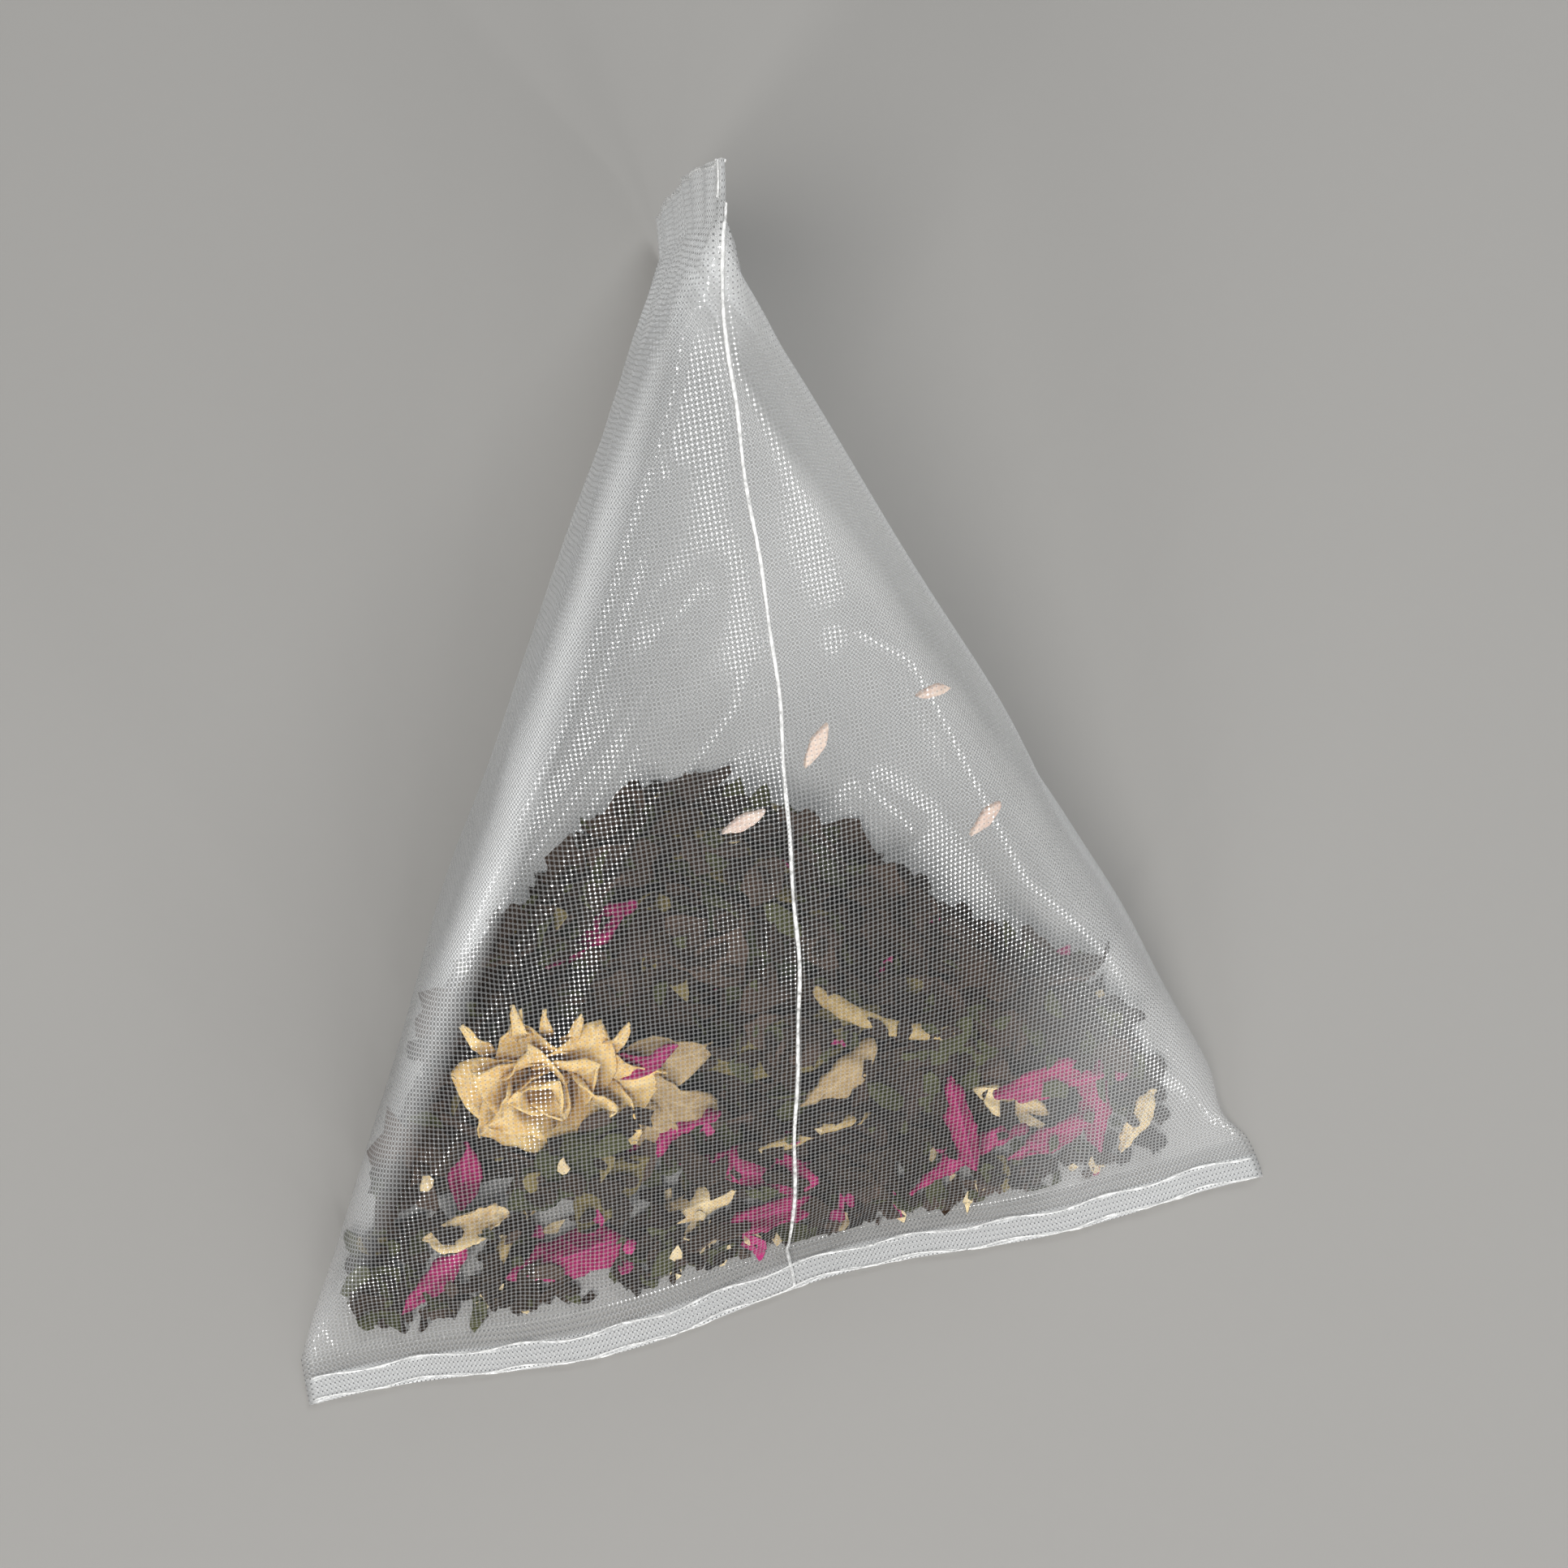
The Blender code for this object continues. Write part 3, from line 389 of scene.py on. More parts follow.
# How softly the cloth behind the tea and the fused seals begin, how far up the tube the cloth
# behind the tea gets denser, and where the tip's haze begins and how fast it grows
BEHIND_EDGE = 1.6 * MM
FUSED_EDGE = 0.3 * MM
BEHIND_CLIMB = 24 * MM
TIP_LENGTH, TIP_RISE = 10 * MM, 8 * MM

# Colour of the threads, and under the coat of their crowns, which glints instead
THREAD_WHITE = (0.92, 0.93, 0.93)
CROWN_GREY = (0.12, 0.12, 0.12)
COAT_IOR, COAT_ROUGHNESS = 3.4, 0.15

# Milky patch on the right of the front face, where the cloth stands off the heap
PATCH_START, PATCH_RISE = 10.5 * MM, 7.0 * MM
PATCH_END, PATCH_FALL = 29.0 * MM, 3.0 * MM
PATCH_HAZE, PATCH_THREAD = 0.09, 0.22


def weave_group():
    """Plain weave counted in threads: where thread covers the cloth, how high it rises and
    where it crowns another thread."""
    group, n, inputs, outputs = start_group("plain_weave", ("Across", "Along", "Thread"),
                                            ("Cover", "Height", "Crown"))
    warp_off = n.math("ABSOLUTE", n.minus(n.math("FRACT", inputs["Across"]), 0.5))
    weft_off = n.math("ABSOLUTE", n.minus(n.math("FRACT", inputs["Along"]), 0.5))
    half = n.times(inputs["Thread"], 0.5)
    over = n.times(n.math("SINE", n.times(inputs["Across"], math.pi)),
                   n.math("SINE", n.times(inputs["Along"], math.pi)))

    def round_thread(off):
        share = n.math("DIVIDE", off, half)
        inside = n.minus(1.0, n.times(share, share), clamp=True)
        return n.math("SQRT", inside)

    warp, weft = round_thread(warp_off), round_thread(weft_off)
    cover = n.math("MINIMUM", n.times(n.math("MAXIMUM", warp, weft), 2.5), 1.0)
    crown = n.line(n.times(over, over), 2.2, -1.0, clamp=True)
    n.feed(outputs["Cover"], cover)
    n.feed(outputs["Height"], over)
    n.feed(outputs["Crown"], crown)
    return group


def woven_material(group):
    """Fine white monofilament mesh: open holes, glassy threads, denser in the fused seals."""
    material, n, shader = start_material("woven_mesh")
    uv = n.new("ShaderNodeUVMap", uv_map="fabric")
    split = n.new("ShaderNodeSeparateXYZ")
    n.feed(split.inputs[0], uv.outputs[0])
    girth, height = split.outputs[0], split.outputs[1]
    wander = n.line(n.noise(uv.outputs[0], 60.0, 2.0), THREAD_STRAY, 0.0)
    weave = n.new("ShaderNodeGroup", node_tree=group)
    n.feed(weave.inputs["Across"], n.math("DIVIDE", n.math("ADD", girth, wander), THREAD_ACROSS))
    n.feed(weave.inputs["Along"], n.math("DIVIDE", n.math("ADD", height, wander), THREAD_ALONG))
    weave.inputs["Thread"].default_value = THREAD_SHARE

    # Masks: the fused seals, the cloth beyond the front face's folds, the patch and the tip
    middle = n.math("ABSOLUTE", n.minus(height, TUBE_HEIGHT / 2))
    from_edge = n.minus(TUBE_HEIGHT / 2, middle)
    past_seal = n.math("DIVIDE", n.minus(from_edge, SEAL_CREASE), FUSED_EDGE)
    fused = n.minus(1.0, past_seal, clamp=True)
    half_face = n.line(height, -0.5 * SEAL_LENGTH / TUBE_HEIGHT, 0.5 * SEAL_LENGTH)
    from_back = n.math("ABSOLUTE", n.minus(girth, SEAL_LENGTH))
    beyond = n.minus(n.minus(SEAL_LENGTH, from_back), half_face)
    behind = n.line(beyond, 1 / BEHIND_EDGE, 0.5, clamp=True)
    upward = n.line(height, 1 / BEHIND_CLIMB, -0.2, clamp=True)
    behind = n.times(behind, n.line(upward, 0.8, 0.2))
    rise = n.math("DIVIDE", n.minus(girth, PATCH_START), PATCH_RISE, clamp=True)
    fall = n.math("DIVIDE", n.minus(PATCH_END, girth), PATCH_FALL, clamp=True)
    patch = n.times(rise, fall)
    tip = n.minus(height, TUBE_HEIGHT - TIP_LENGTH)
    tip = n.math("DIVIDE", tip, TIP_RISE, clamp=True)

    def densest(in_seals, in_back, in_patch):
        share = n.math("MAXIMUM", n.times(fused, in_seals), n.times(behind, in_back))
        return n.math("MAXIMUM", share, n.times(patch, in_patch))

    thin = densest(FUSED_HAZE, BEHIND_HAZE, PATCH_HAZE)
    thick = densest(FUSED_THREAD, BEHIND_THREAD, PATCH_THREAD)
    haze = n.line(tip, TIP_HAZE, n.math("ADD", thin, FRONT_HAZE))
    thread = n.line(tip, TIP_HAZE, n.math("ADD", thick, FRONT_THREAD))
    alpha = n.line(weave.outputs["Cover"], n.minus(thread, haze), haze)
    crown = weave.outputs["Crown"]
    n.feed(shader.inputs["Alpha"], n.line(crown, CROWN_OPACITY, alpha, clamp=True))
    n.feed(shader.inputs["Base Color"], n.mix(crown, (*THREAD_WHITE, 1), (*CROWN_GREY, 1)))
    n.feed(shader.inputs["Coat Weight"], crown)
    shader.inputs["Coat IOR"].default_value = COAT_IOR
    shader.inputs["Coat Roughness"].default_value = COAT_ROUGHNESS
    shader.inputs["Roughness"].default_value = 0.5
    shader.inputs["Specular IOR Level"].default_value = 0.3
    normal = n.bump(weave.outputs["Height"], THREAD_RISE)
    n.feed(shader.inputs["Normal"], normal)
    n.feed(shader.inputs["Coat Normal"], normal)
    return material


def weld_material():
    """Fused fabric: white, slightly glassy, with melted pips."""
    material, n, shader = start_material("fused_weld")
    coords = n.new("ShaderNodeTexCoord").outputs["Object"]
    pips = n.noise(coords, 2600.0, 2.0)
    n.feed(shader.inputs["Base Color"], n.mix(pips, (0.72, 0.72, 0.70, 1), (0.97, 0.97, 0.96, 1)))
    n.feed(shader.inputs["Alpha"], n.line(pips, 2.2, -0.45, clamp=True))
    shader.inputs["Roughness"].default_value = 0.22
    shader.inputs["Specular IOR Level"].default_value = 0.8
    n.feed(shader.inputs["Normal"], n.bump(pips, 0.12 * MM, 0.8))
    return material


def mottle_group():
    """Blotches and fine grain of dried plant, from Object coordinates."""
    group, n, inputs, outputs = start_group("dry_mottle", ("Vector",), ("Blotch", "Grain"),
                                            "NodeSocketVector")
    n.feed(outputs["Blotch"], n.noise(inputs["Vector"], 330.0, 3.0, 0.6))
    n.feed(outputs["Grain"], n.noise(inputs["Vector"], 3800.0, 4.0, 0.7))
    return group


# Distance between the side veins of a leaf or petal
VEIN_PITCH = 1.5 * MM


def plant_material(name, group, dark, light, edge, roughness, veins, bump, base=0.0):
    """Dried leaf or petal: blotched colour, fine wrinkles and, where it has them, veins and a
    base of that length darkened as painted shade, where petals lie under each other."""
    material, n, shader = start_material(name)
    coords = n.new("ShaderNodeTexCoord")
    mottle = n.new("ShaderNodeGroup", node_tree=group)
    n.feed(mottle.inputs["Vector"], coords.outputs["Object"])
    blotch = n.line(mottle.outputs["Blotch"], 2.6, -0.85)
    blotch = n.math("MINIMUM", n.math("SMOOTH_MAX", blotch, 0.0, 0.1), 1.0)
    colour = n.mix(blotch, (*dark, 1), (*light, 1))
    fleck = n.line(mottle.outputs["Grain"], 3.0, -1.35, clamp=True)
    height = n.times(mottle.outputs["Grain"], 0.6)
    colour = n.mix(n.times(fleck, 0.55), colour, (*edge, 1))
    if veins:
        uv = n.new("ShaderNodeUVMap", uv_map="blade")
        split = n.new("ShaderNodeSeparateXYZ")
        n.feed(split.inputs[0], uv.outputs[0])
        off = n.math("ABSOLUTE", split.outputs[1])
        rib = n.minus(1.0, n.times(off, 5500.0), clamp=True)
        slant = n.minus(split.outputs[0], n.times(off, 0.8))
        turn = n.math("FRACT", n.times(slant, 1 / VEIN_PITCH))
        side = n.math("ABSOLUTE", n.minus(turn, 0.5))
        side = n.minus(1.0, n.times(side, 7.0), clamp=True)
        vein = n.math("MAXIMUM", rib, n.times(side, 0.55))
        colour = n.mix(n.times(vein, veins), colour, (*edge, 1))
        height = n.math("ADD", height, vein)
        # Painted shade: the colour darkens towards the base, where the petals overlap
        if base:
            base_shade = n.minus(1.0, n.math("DIVIDE", split.outputs[0], base), clamp=True)
            colour = n.mix(base_shade, colour, (dark[0] * 0.45, dark[1] * 0.33, dark[2] * 0.25, 1))
    n.feed(shader.inputs["Base Color"], colour)
    rough = n.line(mottle.outputs["Grain"], 0.25, roughness - 0.12)
    n.feed(shader.inputs["Roughness"], rough)
    shader.inputs["Specular IOR Level"].default_value = 0.18
    n.feed(shader.inputs["Normal"], n.bump(height, bump * MM, 0.8))
    return material


# Dried plant finishes: dark, light and edge colour, roughness, how strong the veins are and the
# depth of the wrinkles in millimetres
RECIPES = {
    "crushed": ((0.005, 0.003, 0.0018), (0.028, 0.015, 0.008), (0.070, 0.040, 0.020), 0.85, 0.0, 0.22),
    "dark": ((0.007, 0.0038, 0.0026), (0.034, 0.018, 0.013), (0.075, 0.044, 0.028), 0.75, 0.55, 0.10),
    "green": ((0.010, 0.012, 0.0035), (0.032, 0.035, 0.009), (0.07, 0.07, 0.024), 0.75, 0.55, 0.10),
    "olive": ((0.050, 0.038, 0.010), (0.130, 0.098, 0.028), (0.22, 0.17, 0.065), 0.75, 0.45, 0.10),
    "pink": ((0.110, 0.000, 0.030), (0.360, 0.001, 0.100), (0.50, 0.04, 0.20), 0.62, 0.45, 0.12),
    "cream": ((0.420, 0.270, 0.110), (0.820, 0.640, 0.340), (0.88, 0.78, 0.54), 0.70, 0.25, 0.08),
    "faded": ((0.560, 0.400, 0.340), (0.740, 0.600, 0.500), (0.80, 0.70, 0.60), 0.70, 0.25, 0.08),
    "husk": ((0.190, 0.120, 0.050), (0.420, 0.300, 0.150), (0.55, 0.42, 0.24), 0.70, 0.45, 0.08),
    "straw": ((0.230, 0.150, 0.050), (0.500, 0.370, 0.160), (0.65, 0.52, 0.30), 0.65, 0.0, 0.08),
    "flower": ((0.520, 0.310, 0.090), (0.840, 0.600, 0.240), (0.93, 0.80, 0.50), 0.70, 0.35, 0.10),
}
# Length of the painted shade at the base of the flower's petals
PAINTED_BASE_SHADE = {"flower": 2.4 * MM}
MATERIALS = {}


def materials():
    """All finishes, made once."""
    if MATERIALS:
        return MATERIALS
    mottle = mottle_group()
    MATERIALS["mesh"] = woven_material(weave_group())
    MATERIALS["weld"] = weld_material()
    for name, recipe in RECIPES.items():
        base = PAINTED_BASE_SHADE.get(name, 0.0)
        MATERIALS[name] = plant_material(f"dried_{name}", mottle, *recipe, base=base)
    return MATERIALS


class TeaBagStage(bpy.types.PropertyGroup):
    """Stage and camera."""
    floor_size: bpy.props.FloatProperty(
        name="Floor", description="Side of the floor", default=3.0, unit="LENGTH")
    floor_colour: bpy.props.FloatVectorProperty(
        name="Floor colour", description="Pale floor", default=(0.345, 0.335, 0.320), size=3,
        subtype="COLOR")
    lens: bpy.props.FloatProperty(name="Lens", description="Focal length in millimetres", default=65.2)
    distance: bpy.props.FloatProperty(
        name="Distance", description="Camera to the bag", default=0.14933, unit="LENGTH")
    azimuth: bpy.props.FloatProperty(name="Azimuth", description="Round from the front",
                                     default=math.radians(-21.44), subtype="ANGLE")
    elevation: bpy.props.FloatProperty(name="Elevation", description="Above the floor",
                                       default=math.radians(74.41), subtype="ANGLE")
    roll: bpy.props.FloatProperty(name="Roll", description="Turn of the picture",
                                  default=math.radians(8.49), subtype="ANGLE")
    aim: bpy.props.FloatVectorProperty(name="Aim", description="Point in the middle of the picture",
                                       default=(0.00437, 0.00258, 0.018), size=3, subtype="TRANSLATION")


class TeaBagFabric(bpy.types.PropertyGroup):
    """Mesh fabric."""
    columns: bpy.props.IntProperty(name="Columns", description="Quads round the girth", default=260)
    rows: bpy.props.IntProperty(name="Rows", description="Quads from seal to seal", default=160)
    seam_width: bpy.props.FloatProperty(
        name="Seam", description="Width of the welded seam", default=0.23 * MM, unit="LENGTH")
    rib_width: bpy.props.FloatProperty(
        name="Rib", description="Width of a rib of the heat seals", default=0.18 * MM, unit="LENGTH")


class TeaBagTea(bpy.types.PropertyGroup):
    """Loose tea."""
    crumbs: bpy.props.IntProperty(name="Crumbs", description="Dark leaf crumbs", default=1500)
    fragments: bpy.props.IntProperty(name="Fragments", description="Larger broken leaves", default=170)
    bits: bpy.props.IntProperty(name="Bits", description="Pink, cream and olive bits in all", default=70)
    seed: bpy.props.IntProperty(name="Seed", description="Scatter of the crumbs", default=7)


def area_light(name, place, size, power, colour, length=0.0):
    """A round light aimed at the bag, or an upright strip where it has a length."""
    light = bpy.data.lights.new(name, "AREA")
    light.shape = "RECTANGLE" if length else "DISK"
    light.size = size
    if length:
        light.size_y = length
    light.energy = power
    light.color = colour
    lamp = bpy.data.objects.new(name, light)
    lamp.location = place
    aim = Vector(LIGHT_AIM) - Vector(place)
    lamp.rotation_euler = aim.to_track_quat("-Z", "Y").to_euler()
    bpy.context.collection.objects.link(lamp)


# Broad lights: place, size, power and colour. They are aimed at one point in the bag
LIGHT_AIM = (0.0, 0.0, 12 * MM)
BROAD_LIGHTS = (
    ("key", (-0.16, -0.22, 0.56), 0.16, 1.7, (1.0, 0.985, 0.96)),
    ("fill", (0.32, 0.36, 0.46), 0.40, 1.8, (0.95, 0.98, 1.0)),
)
WORLD_COLOUR, WORLD_STRENGTH = (0.93, 0.96, 1.0), 0.22

# Narrow upright lights in front of the bag, whose glints run down the folds of the cloth:
# degrees round from the front, degrees up, and length
STRIP_DISTANCE, STRIP_WIDTH, STRIP_POWER = 0.6, 0.013, 0.85
STRIP_LIGHTS = (
    ("left_strip", -42, 30, 0.31), ("low_left_strip", -18, 12.5, 0.26),
    ("seam_strip", 5, 30, 0.40), ("right_strip", 27, 14, 0.23),
)


class TEABAG_OT_stage(bpy.types.Operator):
    """Plain pale floor, soft studio light and the camera"""
    bl_idname = "teabag.stage"
    bl_label = "Stage"

    def execute(self, context):
        p = context.scene.tea_bag_stage
        deselect()
        bpy.ops.mesh.primitive_grid_add(x_subdivisions=8, y_subdivisions=8, size=p.floor_size)
        floor = context.active_object
        floor.name = "floor"
        material, n, shader = start_material("pale_floor")
        coords = n.new("ShaderNodeTexCoord").outputs["Object"]
        grain = n.noise(coords, 900.0, 4.0)
        low = tuple(c * 0.985 for c in p.floor_colour)
        n.feed(shader.inputs["Base Color"], n.mix(grain, (*low, 1), (*p.floor_colour, 1)))
        shader.inputs["Roughness"].default_value = 0.75
        shader.inputs["Specular IOR Level"].default_value = 0.2
        floor.data.materials.append(material)

        world = bpy.data.worlds.new("studio")
        world.use_nodes = True
        background = world.node_tree.nodes["Background"]
        background.inputs["Color"].default_value = (*WORLD_COLOUR, 1)
        background.inputs["Strength"].default_value = WORLD_STRENGTH
        context.scene.world = world
        context.scene.view_settings.view_transform = "Standard"
        for name, place, size, power, colour in BROAD_LIGHTS:
            area_light(name, place, size, power, colour)
        for name, azimuth, elevation, length in STRIP_LIGHTS:
            az, el = math.radians(azimuth), math.radians(elevation)
            place = Vector((math.sin(az) * math.cos(el), -math.cos(az) * math.cos(el), math.sin(el)))
            area_light(name, place * STRIP_DISTANCE, STRIP_WIDTH, STRIP_POWER, (1, 1, 1), length)

        camera = bpy.data.cameras.new("camera")
        camera.lens = p.lens
        camera.sensor_width = 36.0
        camera.clip_start = 0.01
        eye = bpy.data.objects.new("camera", camera)
        context.collection.objects.link(eye)
        cos_e, sin_e = math.cos(p.elevation), math.sin(p.elevation)
        back = Vector((math.sin(p.azimuth) * cos_e, -math.cos(p.azimuth) * cos_e, sin_e))
        right = Vector((math.cos(p.azimuth), math.sin(p.azimuth), 0.0))
        up = back.cross(right)
        turned = right * math.cos(p.roll) + up * math.sin(p.roll)
        upright = up * math.cos(p.roll) - right * math.sin(p.roll)
        place = Vector(p.aim) + back * p.distance
        turn = Matrix((turned, upright, back)).transposed().to_4x4()
        eye.matrix_world = Matrix.Translation(place) @ turn
        context.scene.camera = eye
        return {"FINISHED"}


# A ribbon's section: shares of its width across and of its crown above the cloth
SECTION = ((-0.5, 0.0), (-0.25, 0.8), (0.25, 1.0), (0.5, 0.0), (0.0, -0.6))


def strip(name, girth, heights, widths, lift, crown):
    """A closed ribbon that follows the cloth: girth and heights give its line, widths its sides."""
    line = cloth(girth, heights)
    normal = outward(girth, heights)
    tangent = np.gradient(line, axis=0)
    tangent /= np.linalg.norm(tangent, axis=1, keepdims=True)
    side = np.cross(normal, tangent)
    vertices = [line[i] + side[i] * across * widths[i] + normal[i] * (lift + crown * height)
                for i in range(len(line)) for across, height in SECTION]
    count, last = len(SECTION), (len(line) - 1) * len(SECTION)
    faces = [(row + k, row + (k + 1) % count, row + (k + 1) % count + count, row + k + count)
             for row in range(0, last, count) for k in range(count)]
    faces += [tuple(range(count - 1, -1, -1)), tuple(range(last, last + count))]
    piece = link(name, mesh_of(name, vertices, faces))
    bpy.ops.object.mode_set(mode="EDIT")
    bpy.ops.mesh.select_all(action="SELECT")
    bpy.ops.mesh.normals_make_consistent(inside=False)
    bpy.ops.object.mode_set(mode="OBJECT")
    bpy.ops.object.shade_smooth()
    return piece


class TEABAG_OT_fabric(bpy.types.Operator):
    """The mesh tube, from cut edge to cut edge, split along its welded seam"""
    bl_idname = "teabag.fabric"
    bl_label = "Mesh Fabric"

    def execute(self, context):
        p = context.scene.tea_bag_fabric
        around = np.linspace(0.0, 2.0, p.columns + 1)
        height = np.linspace(0.0, TUBE_HEIGHT, p.rows + 1)
        grid_u, grid_v = np.meshgrid(around, height)
        points = cloth(grid_u, grid_v)
        width = p.columns + 1
        faces = [(r * width + c, r * width + c + 1, (r + 1) * width + c + 1, (r + 1) * width + c)
                 for r in range(p.rows) for c in range(p.columns)]
        mesh = mesh_of("mesh_fabric", points.reshape(-1, 3), faces)
        lay_uv(mesh, "fabric", np.stack([grid_u * SEAL_LENGTH, grid_v], -1).reshape(-1, 2))
        piece = link("mesh_fabric", mesh)
        bpy.ops.object.shade_smooth()
        finish_piece(piece, "mesh", ["mesh_bag"])
        return {"FINISHED"}


# Ribs of the heat seals: name, height up the tube and share of the rib's width, then the names
# of its two sides, where the first starts round the girth, and the height and turns of its waves
SEAM_LIFT, SEAM_CROWN, RIB_CROWN = 0.02 * MM, 0.08 * MM, 0.07 * MM
RIB_POINTS = 220
RIB_GAP = 0.004
RIB_MARGIN = 0.03 * MM
RIBS = (
    ("near_seal_edge", 0.12 * MM, 0.6, ("front", "under"), -0.5, 0.12 * MM, 61.0),
    ("near_seal_crease", SEAL_CREASE, 0.75, ("front", "under"), -0.5, 0.12 * MM, 61.0),
    ("far_seal_edge", TUBE_HEIGHT - 0.12 * MM, 0.8, ("right", "left"), 0.0, 0.10 * MM, 57.0),
)


class TEABAG_OT_welds(bpy.types.Operator):
    """The welded seam and the ribs pressed into the two heat seals"""
    bl_idname = "teabag.welds"
    bl_label = "Seam and Seals"

    def execute(self, context):
        p = context.scene.tea_bag_fabric
        heights = np.linspace(0.05 * MM, TUBE_HEIGHT - 0.05 * MM, 300)
        wander = 0.0012 * np.sin(heights / (3.1 * MM)) + 0.0008 * np.sin(heights / (1.3 * MM) + 1.0)
        uneven = np.sin(heights / (0.9 * MM)) * np.sin(heights / (2.7 * MM))
        widths = p.seam_width * (1.0 + 0.15 * uneven)
        seam = strip("welded_seam", wander, heights, widths, SEAM_LIFT, SEAM_CROWN)
        finish_piece(seam, "weld")
        for name, level, share, sides, start, wave, turns in RIBS:
            for number, side in enumerate(sides):
                low = start + number
                girth = np.linspace(low + RIB_GAP, low + 1.0 - RIB_GAP, RIB_POINTS)
                line = np.full(RIB_POINTS, level) + wave * np.sin(girth * turns)
                line = np.clip(line, RIB_MARGIN, TUBE_HEIGHT - RIB_MARGIN)
                widths = p.rib_width * share * (1 + 0.35 * np.sin(girth * 173.0))
                rib = strip(f"{name}_{side}", girth, line, widths, 0.0, RIB_CROWN)
                finish_piece(rib, "weld")
        return {"FINISHED"}


def copy_of(node, name):
    """A copy of a frame node's mesh, with the points that lie together merged."""
    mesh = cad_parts[node].data.copy()
    mesh.name = name
    mesh.materials.clear()
    shape = bmesh.new()
    shape.from_mesh(mesh)
    bmesh.ops.remove_doubles(shape, verts=shape.verts, dist=1e-6)
    shape.to_mesh(mesh)
    shape.free()
    return link(name, mesh)


def main_axes(mesh):
    """Middle and main directions of a piece, longest first."""
    points = points_of(mesh)
    middle = points.mean(0)
    _, axes = np.linalg.eigh(np.cov((points - middle).T))
    return points, middle, axes[:, ::-1]


def slim(piece, share):
    """Narrow a blade across its length."""
    points, middle, axes = main_axes(piece.data)
    points -= np.outer((points - middle) @ axes[:, 1], axes[:, 1]) * (1.0 - share)
    move_points(piece.data, points)


def crumple(piece, strength, scale, fine=0.0):
    """Push the surface in and out along its normals by smooth noise."""
    points = points_of(piece.data)
    normals = np.empty(points.size)
    piece.data.vertices.foreach_get("normal", normals)
    push = np.array([noise.noise(Vector(place)) for place in points / scale]) * strength
    if fine:
        push += np.array([noise.noise(Vector(place)) for place in points / (scale * 0.3)]) * fine
    move_points(piece.data, points + normals.reshape(-1, 3) * push[:, None])


def blade_map(piece):
    """A UV map in metres along and across a leaf or petal."""
    points, middle, axes = main_axes(piece.data)
    flat = np.stack([(points - middle) @ axes[:, 0], (points - middle) @ axes[:, 1]], -1)
    lay_uv(piece.data, "blade", flat)


def subdivide(piece, levels, simple=False):
    smooth = piece.modifiers.new("smooth", "SUBSURF")
    smooth.subdivision_type = "SIMPLE" if simple else "CATMULL_CLARK"
    smooth.levels = smooth.render_levels = levels
    apply_modifiers(piece)


def fabric_tree():
    """The cloth as a search tree, and +1 or -1 for normals that point out of the bag."""
    fabric = bpy.data.objects["mesh_fabric"].data
    tree = BVHTree.FromPolygons([v.co.copy() for v in fabric.vertices],
                                [tuple(f.vertices) for f in fabric.polygons])
    inside = Vector((0, 0, 8 * MM))
    nearest, normal, _, _ = tree.find_nearest(inside)
    return tree, 1 if (inside - nearest).dot(normal) < 0 else -1


def press_inside(piece, margin):
    """Press whatever would stick out of the cloth back against its inner face."""
    tree, sign = fabric_tree()
    for vertex in piece.data.vertices:
        nearest, normal, _, _ = tree.find_nearest(vertex.co)
        normal = normal * sign
        kept = margin if normal.z > -0.3 else 0.0
        if (vertex.co - nearest).dot(normal) > -kept:
            vertex.co = nearest - normal * margin


# Kinds of blade: the start of the node's name, the finish, the record's slot, and the depth and
# size of its crumples; how far blades keep from the cloth, and how much narrower petals get
BLADE_MARGIN = 0.15 * MM
PETAL_WIDTH = 0.72
BLADES = (
    ("dark_leaf", "dark", "dark_leaf", 0.30 * MM, 1.5 * MM),
    ("olive_leaf", "olive", "olive_leaf", 0.22 * MM, 1.5 * MM),
    ("pink_petal", "pink", "pink_petal", 0.42 * MM, 1.1 * MM),
    ("cream_petal", "cream", "cream_petal", 0.36 * MM, 1.0 * MM),
    ("stray_petal", "faded", "pink_petal", 0.10 * MM, 0.8 * MM),
)
# Blades with another finish than their kind's
HUSKS = ("cream_petal_1",)
GREEN_LEAVES = ("dark_leaf_01", "dark_leaf_06", "dark_leaf_08", "dark_leaf_17", "dark_leaf_14")


class TEABAG_OT_blades(bpy.types.Operator):
    """Whole leaves and petals, curled and crumpled from the frame's own"""
    bl_idname = "teabag.blades"
    bl_label = "Leaves and Petals"

    def execute(self, context):
        for node in sorted(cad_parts):
            for start, finish, slot, strength, scale in BLADES:
                if not node.startswith(start):
                    continue
                piece = copy_of(node, f"{node}_dried")
                subdivide(piece, 1, simple=True)
                subdivide(piece, 1)
                if "petal" in start:
                    slim(piece, PETAL_WIDTH)
                crumple(piece, strength, scale, strength * 0.35)
                press_inside(piece, BLADE_MARGIN)
                blade_map(piece)
                bpy.ops.object.shade_smooth()
                if node in GREEN_LEAVES:
                    finish = "green"
                if node in HUSKS:
                    finish = "husk"
                finish_piece(piece, finish, [node])
        return {"FINISHED"}


class TEABAG_OT_bed(bpy.types.Operator):
    """The crushed leaf, broken up on its surface"""
    bl_idname = "teabag.bed"
    bl_label = "Crushed Leaf"

    def execute(self, context):
        piece = copy_of("crushed_leaf_bed", "crushed_leaf")
        subdivide(piece, 2, simple=True)
        crumple(piece, 0.35 * MM, 0.6 * MM)
        for vertex in piece.data.vertices:
            vertex.co.z = max(vertex.co.z, WALL + 0.1 * MM)
        bpy.ops.object.shade_smooth()
        finish_piece(piece, "crushed", ["crushed_leaf_bed"])
        return {"FINISHED"}


# Where the flower head lies behind the front face: share of the half girth, height up the tube
FLOWER_GIRTH, FLOWER_HEIGHT = -11.4 / 55.0, 16.4 * MM

